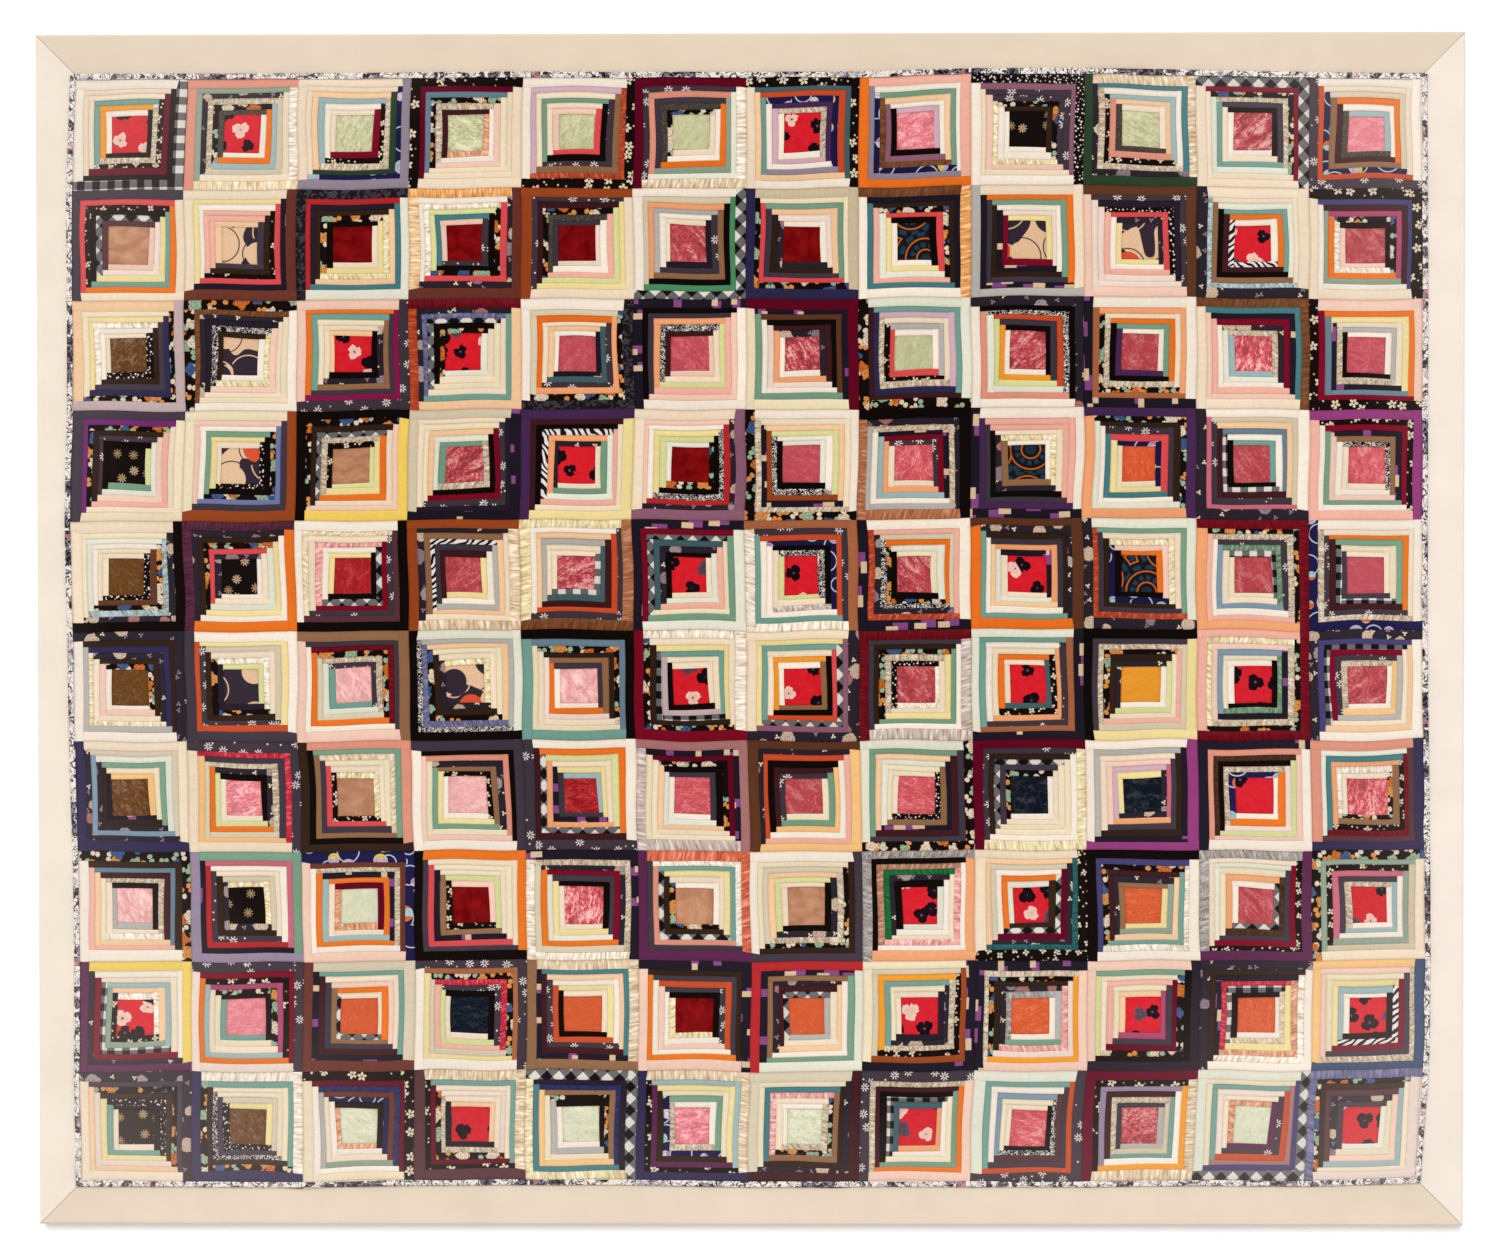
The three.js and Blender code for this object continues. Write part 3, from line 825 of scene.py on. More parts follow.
def rings(recipe, place):
    """Beaded rings of blue with orange lines between them, on black."""
    distance, angle, _ = scattered(recipe, place, 62 * MM, 0.5)
    beads = recipe.math("COSINE", recipe.times(angle, 12.0))
    turns = recipe.times(distance, math.tau / (15 * MM))
    blue = recipe.ramp(recipe.math("SINE", turns), 0.1, 0.35)
    orange = recipe.ramp(recipe.math("SINE", recipe.math("ADD", turns, 2.6)), 0.86, 0.94)
    blue = recipe.times(blue, recipe.ramp(beads, -0.5, -0.1))
    colour = recipe.mix(blue, BLACK_GROUND, dye(30, 66, 90))
    return recipe.mix(orange, colour, dye(196, 106, 46))


# Silks and the like: dye, how dark their painted fold shade is and how strong their painted highlights are,
# the folds' lean in radians and their size
SILKS = {
    "green-silk": ((206, 208, 164), 0.72, 0.5, 0.4, 7 * MM),
    "pale-silk": ((222, 226, 196), 0.84, 0.45, 0.4, 7 * MM),
    "petal-silk": ((246, 184, 184), 0.78, 0.5, 1.2, 9 * MM),
    "pink-silk": ((241, 140, 152), 0.68, 0.47, 1.4, 9 * MM),
    "bright-silk": ((224, 98, 108), 0.5, 0.55, 0.2, 10 * MM),
    "rose-silk": ((196, 80, 88), 0.52, 0.38, 0.9, 12 * MM),
    "ruby-silk": ((182, 34, 42), 0.5, 0.1, 1.5, 9 * MM),
    "navy-silk": ((18, 28, 42), 0.6, 0.05, 0.0, 8 * MM),
    "rose-cloth": ((198, 84, 98), 0.84, 0.1, 0.6, 8 * MM),
    "gold-cloth": ((240, 162, 44), 0.86, 0.08, 0.0, 8 * MM),
    "orange-linen": ((220, 96, 52), 0.86, 0.08, 1.5, 6 * MM),
    "brown-velvet": ((110, 70, 30), 0.66, 0.1, 0.8, 6 * MM),
}
# Velvets: dye, and the colour of their sheen, which both the shader's sheen and the painted sheen use
VELVETS = {
    "tan-velvet": ((190, 134, 102), (208, 158, 128)),
    "red-velvet": ((116, 12, 18), (148, 26, 28)),
}
LEAVES = [dye(206, 190, 164), dye(150, 150, 120), dye(232, 216, 190)]
STAR_BITS = [dye(206, 180, 150), dye(240, 234, 228)]
STAR_GROUND = dye(72, 62, 72)
PRINTS = {
    "pansy": (pansy,),
    "dahlia": (dahlia,),
    "cutout": (cutout,),
    "rings": (rings,),
    "garden": (garden,),
    "roses": (roses,),
    "patches": (patches,),
    "bubbles": (bubbles,),
    "dots": (dots,),
    "scribble": (scribble,),
    "zebra": (zebra,),
    "sprig": (small_flowers, BLACK_GROUND, [CREAM_INK], 4, 4.4 * MM, 17 * MM, 0.85, LEAVES, 0.6),
    "bloom": (small_flowers, BLACK_GROUND, [CREAM_INK], 5, 6.4 * MM, 25 * MM, 0.9, LEAVES, 0.8),
    "starry": (small_flowers, STAR_GROUND, [WHITE_INK], 8, 6.2 * MM, 27 * MM, 0.4, STAR_BITS, 0.3),
    "check": (gingham, 10.4 * MM, 0.0),
    "lozenge": (gingham, 11.6 * MM, math.pi / 4),
    "brocade": (figured, (34, 31, 36), (74, 70, 76), 7 * MM, 0.5, 0.56),
    "tweed": (figured, (58, 54, 50), (104, 98, 90), 1.6 * MM, 0.45, 0.6),
}

# Roughness and gloss of the two prints that aren't on plain cloth
SURFACES = {
    "dahlia": (0.95, 0.05),
    "rings": (0.7, 0.08),
}
KINDS = [
    (plain_cloth, PLAIN),
    (puckered_satin, SATINS),
    (crushed_silk, SILKS),
    (velvet, VELVETS),
    (printed_cloth, PRINTS),
]
made_cloths = {}


def cloth_material(name):
    """The material of a cloth in the chart, made the first time that it is asked for."""
    for maker, table in KINDS:
        if name in table and name not in made_cloths:
            made_cloths[name] = maker(name, *table[name])
    return made_cloths[name]


# The quilt's outline, as in the CAD model


def edge_reach(side, station):
    """How far the bound edge reaches past its straight line: a smooth curve, straight between half blocks."""
    table = np.array(EDGE_REACH[side]) * MM
    last = len(table) - 1

    def smooth(place):
        first = np.minimum(np.floor(place).astype(int), last - 1)
        part = place - first
        before, start, end, after = (table[np.clip(first + step, 0, last)] for step in (-1, 0, 1, 2))
        slope_in = (end - before) / 2
        slope_out = (after - start) / 2
        bend = 2 * (start - end) + slope_in + slope_out
        lean = 3 * (end - start) - 2 * slope_in - slope_out
        return ((bend * part + lean) * part + slope_in) * part + start

    station = np.asarray(station, float)
    lower = np.minimum(np.floor(station * 2) / 2, last - 0.5)
    return smooth(lower) + (smooth(lower + 0.5) - smooth(lower)) * (station - lower) * 2


def quilt_point(column, row, inset):
    """A point of the quilt's face, a given distance inside its outline at the ends."""
    left = -HALF_WIDTH - edge_reach("left", row) + inset
    right = HALF_WIDTH + edge_reach("right", row) - inset
    top = HALF_HEIGHT + edge_reach("top", column) - inset
    bottom = -HALF_HEIGHT - edge_reach("bottom", column) + inset
    x = left + (right - left) * np.asarray(column) / COLUMNS
    y = top + (bottom - top) * np.asarray(row) / ROWS
    return x, y


def ripple(x, y, wavelength, seed, waves=7):
    """Smooth uneven waves in the plane, about 1 high."""
    draw = np.random.default_rng(seed)
    total = np.zeros(np.broadcast(x, y).shape)
    for _ in range(waves):
        heading, phase = draw.uniform(0, 2 * np.pi, 2)
        length = wavelength * draw.uniform(0.7, 1.5)
        way = x * np.cos(heading) + y * np.sin(heading)
        total += np.sin(2 * np.pi * way / length + phase)
    return total / math.sqrt(waves / 2)


# A cell's corners are counted top left, bottom left, bottom right, top right, as lines down and across
CORNERS = [(0, 0), (1, 0), (1, 1), (0, 1)]

# The lines of a block's grid, on one axis: three intervals a log and eight in the centre patch.
# A log stands highest just beyond its inner seam, where its edge is folded over the seam allowance.
LOG_LINES = [0.0, 0.1, 0.55]
LOG_RISE = {0.0: 0.0, 0.1: 1.0, 0.55: 0.9, 1.0: 0.0}
CENTRE_LINES = [0.0, 0.05, 0.16, 0.33, 0.5, 0.67, 0.84, 0.95]
CENTRE_RISE = dict(zip([*CENTRE_LINES, 1.0], [0.0, 0.5, 0.8, 0.95, 1.0, 0.95, 0.8, 0.5, 0.0]))
STRIPS = 2 * ROUNDS + 1


def grid_intervals():
    """Each interval's strip, its start as a share of the strip, and its ends counted from the inner seam."""
    intervals = []
    for strip in range(STRIPS):
        if strip == ROUNDS:
            marks = [*CENTRE_LINES, 1.0]
        elif strip > ROUNDS:
            marks = [*LOG_LINES, 1.0]
        else:
            marks = [1.0 - mark for mark in reversed([*LOG_LINES, 1.0])]
        for start, end in zip(marks[:-1], marks[1:]):
            from_inner = (start, end) if strip >= ROUNDS else (1 - start, 1 - end)
            intervals.append((strip, start, *from_inner))
    return intervals


INTERVALS = grid_intervals()
STRIP_OF = np.array([interval[0] for interval in INTERVALS])
SHARE_OF_LINE = np.array([interval[1] for interval in INTERVALS] + [1.0])
STRIP_OF_LINE = np.append(STRIP_OF, STRIPS - 1)
FROM_INNER = np.array([interval[2:] for interval in INTERVALS])
LINES = len(INTERVALS) + 1


def rise_at(share, table):
    """The height at a share of the way across, as a share of the seam's depth."""
    marks = sorted(table)
    return np.interp(share, marks, [table[mark] for mark in marks])


LOG_HEIGHTS = rise_at(FROM_INNER, LOG_RISE)
CENTRE_HEIGHTS = rise_at(FROM_INNER, CENTRE_RISE)

CLOCKWISE = ["left", "top", "right", "bottom"]
FIRST_LIGHT = {
    ("top", "left"): "right",
    ("top", "right"): "bottom",
    ("bottom", "right"): "left",
    ("bottom", "left"): "top",
}
OPPOSITE = {"top": "bottom", "bottom": "top", "left": "right", "right": "left"}


def sewing_order(row, column):
    """The sides of a block in the order that its logs are sewn, light then dark, for a barn raising."""
    upper = row < ROWS // 2
    left = column < COLUMNS // 2
    down_steps = ROWS // 2 - 1 - row if upper else row - ROWS // 2
    side_steps = COLUMNS // 2 - 1 - column if left else column - COLUMNS // 2
    corner = ("top" if upper else "bottom", "left" if left else "right")
    if (down_steps + side_steps) % 2:
        corner = tuple(OPPOSITE[side] for side in corner)
    start = CLOCKWISE.index(FIRST_LIGHT[corner])
    return CLOCKWISE[start:] + CLOCKWISE[:start]


def piece_map(order):
    """Which piece shows between the seams, by strip down and across: its round, and its turn in the round."""
    strips = np.arange(STRIPS)
    rounds = np.abs(strips - ROUNDS)
    turn_across = np.where(strips < ROUNDS, order.index("left"), order.index("right"))
    turn_down = np.where(strips < ROUNDS, order.index("top"), order.index("bottom"))
    across, down = np.meshgrid(rounds, rounds)
    turn_x, turn_y = np.meshgrid(turn_across, turn_down)
    turn = np.where(across > down, turn_x, np.where(down > across, turn_y, np.maximum(turn_x, turn_y)))
    return np.maximum(across, down), turn


def read_block(line):
    """A chart line as the centre's cloth and, for each round, its four cloths in sewing order."""
    centre, lights, darks = [part.split() for part in line.split("|")]
    rounds = []
    for light, dark in zip(lights, darks):
        pairs = [(name.split("/") * 2)[:2] for name in (light, dark)]
        rounds.append([*pairs[0], *pairs[1]])
    return centre[0], rounds


WIDTHS = np.array([LOG_SHARE] * (ROUNDS - 1) + [OUTER_SHARE])


def seam_places(half, middle, low_widths, high_widths):
    """Where the seams on one axis of a block are, as shares of its width."""
    low = (middle - half) * (1 - np.cumsum(low_widths) / low_widths.sum())
    high = middle + half + (1 - middle - half) * np.cumsum(high_widths) / high_widths.sum()
    return np.concatenate([low[::-1], [middle - half, middle + half], high])


def crooked_places(draw):
    """The same with the maker's small errors, in the centre patch's size and place and each log's width."""
    half = CENTRE_SHARE / 2 * (1 + CENTRE_ERROR * draw.standard_normal())
    middle = 0.5 + MIDDLE_ERROR * draw.standard_normal()
    return seam_places(half, middle, *(WIDTHS * (1 + LOG_ERROR * draw.standard_normal((2, ROUNDS)))))


def grid_lines(places):
    """The grid lines' places from the seams' places."""
    return places[STRIP_OF_LINE] + (places[STRIP_OF_LINE + 1] - places[STRIP_OF_LINE]) * SHARE_OF_LINE


# The lines without errors, which neighbouring blocks share along their seams
EVEN_LINES = grid_lines(seam_places(CENTRE_SHARE / 2, 0.5, WIDTHS, WIDTHS))
SEAM_ROUND = np.abs(np.arange(STRIPS + 1) - (STRIPS / 2)) - 0.5
RAMP = np.clip(np.minimum(EVEN_LINES, 1 - EVEN_LINES) / OUTER_SHARE, 0, 1)


def block_axis(draw, turn):
    """The places of one family of grid lines, [line, place along it], between the even ones at its ends."""
    places = crooked_places(draw)
    looseness = 1 - SEAM_ROUND / ROUNDS
    slopes = looseness * (turn + SEAM_LEAN * draw.standard_normal(STRIPS + 1))
    bows = looseness * SEAM_BOW * draw.standard_normal(STRIPS + 1)
    shifts = [slopes * (share - 0.5) + bows * np.cos(math.tau * share) for share in EVEN_LINES]
    leaning = np.array([grid_lines(places + shift) for shift in shifts]).T
    return EVEN_LINES[:, None] + RAMP[None, :] * (leaning - EVEN_LINES[:, None])


def cell_rises(upright, level):
    """Each cell's corners: their height in the seams' depth, and their share of the way across their log."""
    shape = upright.shape
    rise = np.zeros((*shape, 4))
    share = np.zeros((*shape, 4))
    for index, (low, right) in enumerate(CORNERS):
        centre = np.outer(CENTRE_HEIGHTS[:, low], CENTRE_HEIGHTS[:, right])
        by_x = np.broadcast_to(LOG_HEIGHTS[:, right][None, :], shape)
        by_y = np.broadcast_to(LOG_HEIGHTS[:, low][:, None], shape)
        rise[..., index] = np.where(upright, by_x, np.where(level, by_y, centre))
        share_x = np.broadcast_to(FROM_INNER[:, right][None, :], shape)
        share_y = np.broadcast_to(FROM_INNER[:, low][:, None], shape)
        share[..., index] = np.where(upright, share_x, share_y)
    return rise, share


def lowest_at_points(rise):
    """The height of each grid point: the lowest of the corners that meet there."""
    heights = np.full((LINES, LINES), np.inf)
    for index, (low, right) in enumerate(CORNERS):
        part = heights[low : LINES - 1 + low, right : LINES - 1 + right]
        np.minimum(part, rise[..., index], out=part)
    return heights


def at_corners(values):
    """A value for each grid point as one for each corner of each cell."""
    windows = [values[low : LINES - 1 + low, right : LINES - 1 + right] for low, right in CORNERS]
    return np.stack(windows, axis=2)


def make_block(row, column, line):
    """A block's grid points and heights, the mask of its painted seam shade, and each cell's cloth,
    coordinates and own number.
    """
    draw = np.random.default_rng([SEED, row, column])
    turn = BLOCK_LEAN * draw.standard_normal()
    across = block_axis(draw, turn).T
    down = block_axis(draw, -turn)
    x, y = quilt_point(column + across, row + down, BINDING_WIDTH)
    x = x + PULL * ripple(x, y, PULL_WAVE, SEED + 1)
    y = y + PULL * ripple(x, y, PULL_WAVE, SEED + 2)

    order = sewing_order(row, column)
    rounds, turns = piece_map(order)
    cells = np.ix_(STRIP_OF, STRIP_OF)
    rounds = rounds[cells]
    turns = turns[cells]
    upright = np.isin(turns, [order.index("left"), order.index("right")]) & (rounds > 0)
    rise, share = cell_rises(upright, ~upright & (rounds > 0))

    centre_name, round_names = read_block(line)
    numbers = draw.random((ROUNDS + 1, 4))
    shifts = draw.random((ROUNDS + 1, 4, 2))
    quarters = draw.integers(0, 4, (ROUNDS + 1, 4))
    names = [[centre_name] * 4, *round_names]
    turns = np.where(rounds > 0, turns, 0)
    own = numbers[rounds, turns]

    block_x = at_corners(across * BLOCK_WIDTH)
    block_y = at_corners((1 - down) * BLOCK_HEIGHT)
    angle = quarters[rounds, turns] * (np.pi / 2) + OFF_GRAIN * (own - 0.5)
    cosine = np.cos(angle)[..., None]
    sine = np.sin(angle)[..., None]
    shift = shifts[rounds, turns][:, :, None, :] * BOLT
    cloth_x = block_x * cosine - block_y * sine + shift[..., 0]
    cloth_y = block_x * sine + block_y * cosine + shift[..., 1]
    along = np.where(upright[..., None], block_y, block_x)
    numbers = np.broadcast_to(own[..., None], along.shape)
    return {
        "x": x,
        "y": y,
        "rise": lowest_at_points(rise),
        "names": np.array(names)[rounds, turns],
        "cloth": np.stack([cloth_x, cloth_y, np.zeros_like(cloth_x)], axis=-1),
        "log": np.stack([along, share, numbers], axis=-1),
        # The painted seam shade's mask: 1 in a seam's ditch, 0 where the log stands highest
        "seam": 1 - np.minimum(rise, 1.0),
    }


def face_z(x, y, rise, crinkle):
    """The height of the quilt's face: crowned blocks, sunk seams and slight waves."""
    waves = FACE_WAVE * ripple(x, y, FACE_WAVELENGTH, SEED + 3)
    crinkles = CRINKLE * ripple(x, y, CRINKLE_WAVELENGTH, SEED + 4)
    return SEAM_DIP * (rise - 1) + waves + crinkle * crinkles


def add_mesh(name, points, faces, materials, face_slots, smooth, layers):
    """A mesh object with its materials, shading and face-corner layers."""
    mesh = bpy.data.meshes.new(name)
    mesh.from_pydata(points, [], faces)
    for material in materials:
        mesh.materials.append(material)
    mesh.polygons.foreach_set("material_index", face_slots)
    mesh.polygons.foreach_set("use_smooth", smooth)
    for layer, values in layers.items():
        if layer == "OFBake":
            made, key = mesh.uv_layers.new(name=layer), "uv"
        elif values.ndim == 1:
            made, key = mesh.attributes.new(layer, "FLOAT", "CORNER"), "value"
        else:
            made, key = mesh.attributes.new(layer, "FLOAT_VECTOR", "CORNER"), "vector"
        made.data.foreach_set(key, values.astype(np.float32).ravel())
    mesh.update()
    mesh.validate()
    piece = bpy.data.objects.new(name, mesh)
    bpy.context.scene.collection.objects.link(piece)
    return piece


# The baked picture's layout, in shares of its size: twelve blocks in three rows of four, above a strip for
# the back, with the sheet's thin sides along the very bottom
BAKE_COLUMNS = 4
BAKE_ROWS = 3
BACK_STRIP = 0.05
BAKE_MARGIN = 0.006
BACK_LOW, BACK_HIGH = 0.012, 0.044
BACK_LEFT, BACK_RIGHT = 0.005, 0.995
SIDES_LOW, SIDES_HIGH = 0.002, 0.008


def bake_places(column):
    """Where a block's cells lie in the baked picture, four corners a cell."""
    cell_u, cell_v = column % BAKE_COLUMNS, column // BAKE_COLUMNS
    width = 1 / BAKE_COLUMNS
    height = (1 - BACK_STRIP) / BAKE_ROWS
    u = cell_u * width + BAKE_MARGIN + EVEN_LINES * (width - 2 * BAKE_MARGIN)
    v = BACK_STRIP + cell_v * height + BAKE_MARGIN + (1 - EVEN_LINES) * (height - 2 * BAKE_MARGIN)
    cells = LINES - 1
    layout = np.zeros((cells, cells, 4, 2))
    for index, (low, right) in enumerate(CORNERS):
        layout[..., index, 0] = u[right : cells + right][None, :]
        layout[..., index, 1] = v[low : cells + low][:, None]
    return layout


def backing_cloth():
    """The unbleached muslin that the blocks are sewn on, which is the quilt's back."""
    recipe = Recipe("backing")
    place = recipe.world_place()
    flecks = recipe.ramp(recipe.noise(place, 2.5 * MM, detail=4.0), 0.35, 0.7, 0.93, 1.03)
    colour = recipe.shaded(dye(226, 214, 192), flecks)
    return recipe.finish(colour, recipe.weave(place, 0.9 * MM), 0.15 * MM, seam_shade=0.0, tone=0.0)


def row_face(row):
    """A row's grid points, its cells' cloths, and their layers: four corners a cell."""
    lines = [line.strip() for line in CHART[row].strip().splitlines()]
    blocks = [make_block(row, column, line) for column, line in enumerate(lines)]

    def shared_lines(key):
        """The blocks side by side, with the line between two neighbours kept once."""
        return np.concatenate([block[key][:, :-1] for block in blocks] + [blocks[-1][key][:, -1:]], axis=1)

    def side_by_side(key):
        return np.concatenate([block[key] for block in blocks], axis=1)

    x, y, rise = (shared_lines(key) for key in ("x", "y", "rise"))
    names, cloth, log, seam = (side_by_side(key) for key in ("names", "cloth", "log", "seam"))
    layout = np.concatenate([bake_places(column) for column in range(COLUMNS)], axis=1)

    # The face is softer where a satin or silk patch is
    silky = np.isin(names, list(SATINS)) | np.char.endswith(names, "-silk")
    crinkle = np.pad(silky.astype(float), ((0, 1), (0, 1)), mode="edge")
    crown_down = np.sin(np.pi * EVEN_LINES) ** 2
    crown = np.outer(crown_down, np.append(np.tile(crown_down[:-1], COLUMNS), crown_down[-1]))
    z = QUILT_TOP + BLOCK_CROWN * crown + face_z(x, y, rise, crinkle)

    # A rim runs on under the binding, at the quilt's own edges
    pads = ((int(row == 0), int(row == ROWS - 1)), (1, 1))
    x, y, z = (np.pad(values, pads, mode="edge") for values in (x, y, z))
    rim_z = QUILT_TOP - SEAM_DIP
    z[:, [0, -1]] = rim_z
    step = BINDING_WIDTH - SHEET_INSET
    x[:, 0] -= step
    x[:, -1] += step
    if row == 0:
        y[0] += step
        z[0] = rim_z
    if row == ROWS - 1:
        y[-1] -= step
        z[-1] = rim_z
    names = np.pad(names, pads, mode="edge")
    deep_pads = (*pads, (0, 0), (0, 0))
    cloth, log, layout = (np.pad(values, deep_pads, mode="edge") for values in (cloth, log, layout))
    seam = np.pad(seam, (*pads, (0, 0)), mode="edge")
    return np.stack([x, y, z], axis=-1), names, {"cloth": cloth, "log": log, "seam": seam, "OFBake": layout}


def make_row(row, backing):
    """One row of blocks as a single thin sheet, with pieced cloth on its face."""
    points, names, face_layers = row_face(row)
    down, wide = points.shape[:2]
    index = np.arange(down * wide).reshape(down, wide)
    quads = np.stack([index[:-1, :-1], index[1:, :-1], index[1:, 1:], index[:-1, 1:]], axis=-1).reshape(-1, 4)
    loop = np.concatenate([index[:-1, 0], index[-1, :-1], index[:0:-1, -1], index[0, :0:-1]])
    points = points.reshape(-1, 3)
    low_points = points[loop].copy()
    low_points[:, 2] = QUILT_BOTTOM
    low_loop = down * wide + np.arange(len(loop))
    walls = np.stack([loop, low_loop, np.roll(low_loop, -1), np.roll(loop, -1)], axis=-1)
    back = low_loop[::-1]

    cloths = sorted(set(names.ravel()))
    slot_of = {name: slot for slot, name in enumerate(cloths)}
    face_slots = [slot_of[name] for name in names.ravel()] + [len(cloths)] * (len(walls) + 1)
    smooth = [True] * len(quads) + [False] * (len(walls) + 1)
    spare = len(walls) * 4 + len(back)
    around = np.linspace(0, 1, len(loop) + 1)
    wall_uv = np.stack(
        [
            np.stack([around[:-1], around[:-1], around[1:], around[1:]], axis=-1),
            np.tile([SIDES_HIGH, SIDES_LOW, SIDES_LOW, SIDES_HIGH], (len(loop), 1)),
        ],
        axis=-1,
    )
    span = low_points.max(axis=0) - low_points.min(axis=0)
    back_uv = (low_points[::-1, :2] - low_points.min(axis=0)[:2]) / span[:2]
    back_uv = back_uv * [BACK_RIGHT - BACK_LEFT, BACK_HIGH - BACK_LOW] + [BACK_LEFT, BACK_LOW]
    layers = {
        "cloth": np.concatenate([face_layers["cloth"].reshape(-1, 3), np.zeros((spare, 3))]),
        "log": np.concatenate([face_layers["log"].reshape(-1, 3), np.zeros((spare, 3))]),
        "seam": np.concatenate([face_layers["seam"].ravel(), np.zeros(spare)]),
        "OFBake": np.concatenate([face_layers["OFBake"].reshape(-1, 2), wall_uv.reshape(-1, 2), back_uv]),
    }
    faces = quads.tolist() + walls.tolist() + [back.tolist()]
    materials = [cloth_material(name) for name in cloths] + [backing]
    return add_mesh(f"row_{row + 1:02d}", points.tolist(), faces, materials, face_slots, smooth, layers)


# Folded strips: the binding and the border cloth


def thick_line(path, thickness):
    """A closed section round a line of points, half the thickness to each side."""
    path = np.array(path)
    ways = np.gradient(path, axis=0)
    ways /= np.linalg.norm(ways, axis=1)[:, None]
    normals = np.stack([-ways[:, 1], ways[:, 0]], axis=1) * thickness / 2
    return np.concatenate([path + normals, (path - normals)[::-1]])


# Where a folded strip's bands and its two ends lie in the baked picture, as shares of a band or the picture
BAND_LEFT, BAND_WIDTH = 0.01, 0.91
BAND_LOW, BAND_HEIGHT = 0.06, 0.86
END_PLACES = [(0.985, 0.3), (0.985, 0.7)]
END_SIZE = 0.012
SHARP_EDGE = math.radians(50)


def swept_strip(name, section, stations, place_at, material, bands):
    """A closed section swept through stations; the baked picture shows it in bands, one above another."""
    points = place_at(stations[:, None], section[None, :, 0], section[None, :, 1])
    last = len(stations) - 1
    count = len(section)
    index = np.arange((last + 1) * count).reshape(last + 1, count)
    beside = np.roll(index, -1, axis=1)
    quads = np.stack([index[:-1], beside[:-1], beside[1:], index[1:]], axis=-1).reshape(-1, 4)
    ends = [index[0, ::-1].tolist(), index[-1].tolist()]

    girth = np.linalg.norm(np.roll(section, -1, axis=0) - section, axis=1)
    around = np.concatenate([[0], np.cumsum(girth)])
    steps = np.linalg.norm(np.diff(points.mean(axis=1), axis=0), axis=1)
    along = np.concatenate([[0], np.cumsum(steps)])
    rings = np.arange(last)[:, None, None] + np.array([0, 0, 1, 1])
    marks = np.arange(count)[None, :, None] + np.array([0, 1, 1, 0])
    rings, marks = np.broadcast_arrays(rings, marks)
    cloth = np.stack([along[rings], around[marks], np.zeros(rings.shape)], axis=-1).reshape(-1, 3)
    band = np.minimum((along[:-1] / along[-1] * bands).astype(int), bands - 1)[:, None, None]
    u = BAND_LEFT + BAND_WIDTH * (along[rings] / along[-1] * bands - band)
    v = (band + BAND_LOW + BAND_HEIGHT * around[marks] / around[-1]) / bands
    layout = np.stack([u, v], axis=-1).reshape(-1, 2)
    spread = section - section.mean(axis=0)
    spread *= END_SIZE / np.abs(spread).max()
    end_layout = [END_PLACES[0] + spread[::-1], END_PLACES[1] + spread]

    spare = np.zeros((2 * count, 3))
    layers = {
        "cloth": np.concatenate([cloth, spare]),
        "log": np.zeros((len(cloth) + len(spare), 3)),
        "seam": np.zeros(len(cloth) + len(spare)),
        "OFBake": np.concatenate([layout, *end_layout]),
    }
    faces = quads.tolist() + ends
    smooth = [True] * len(quads) + [False, False]
    points = points.reshape(-1, 3).tolist()
    piece = add_mesh(name, points, faces, [material], [0] * len(faces), smooth, layers)
    piece.data.set_sharp_from_angle(angle=SHARP_EDGE)
    return piece


def binding_cloth():
    """The binding's print: loose black and grey drawing on white, with some darker lengths."""
    recipe = Recipe("binding_print")
    place = recipe.cloth()
    white = recipe.mix(recipe.noise(place, 6 * MM, detail=3.0), WHITE_INK, dye(252, 248, 242))
    colour = scribble_colour(recipe, place, 17 * MM, dye(52, 48, 60), white)
    blots = recipe.noise(recipe.moved(place, 0.7, 0.2), 28 * MM, twist=1.0)
    dark = scribble_colour(recipe, place, 15 * MM, dye(150, 146, 160), dye(36, 32, 48))
    colour = recipe.mix(recipe.ramp(blots, 0.555, 0.565), colour, dark)
    for slip_x, slip_y, size, level, tint in (
        (1.9, 0.4, 20 * MM, 0.62, dye(168, 160, 174)),
        (3.1, 0.9, 22 * MM, 0.68, dye(216, 150, 152)),
    ):
        spots = recipe.noise(recipe.moved(place, slip_x, slip_y), size, detail=1.0)
        colour = recipe.mix(recipe.ramp(spots, level, level + 0.01, 0.0, 0.5), colour, tint)
    return recipe.finish(colour, recipe.weave(place), 0.12 * MM, tone=0.0)


BINDING_THICKNESS = 0.7 * MM
BINDING_STATION = 6 * MM
BINDING_PUFF = 0.25 * MM
BINDING_BANDS = 16

# How uneven its width and its height are, and how far their waves run on for each block
WIDTH_WAVE, WIDTH_WAVELENGTH = 0.05, 0.06
BINDING_LIFT, BINDING_WAVELENGTH = 0.1 * MM, 0.03
WAVE_STEP = 0.1


def binding_section():
    """The binding's folded line, from its lower inner edge round the quilt's edge to its upper inner edge."""
    low = BINDING_LOW + BINDING_THICKNESS / 2
    high = BINDING_HIGH - BINDING_THICKNESS / 2 + BINDING_PUFF
    radius = (high - low) / 2
    middle = (high + low) / 2
    turns = np.linspace(-math.pi / 2, math.pi / 2, 9)
    bend = [(radius * (1 - math.cos(t)) + 0.4 * MM, middle + radius * math.sin(t)) for t in turns]
    lower = [(BINDING_WIDTH, low), (BINDING_WIDTH * 0.6, low)]
    upper = [(0.5, 0.0), (0.8, 0.08 * MM), (1.0, 0.35 * MM)]
    upper = [(BINDING_WIDTH * share, high - fall) for share, fall in upper]
    return thick_line(lower + bend + upper, BINDING_THICKNESS)


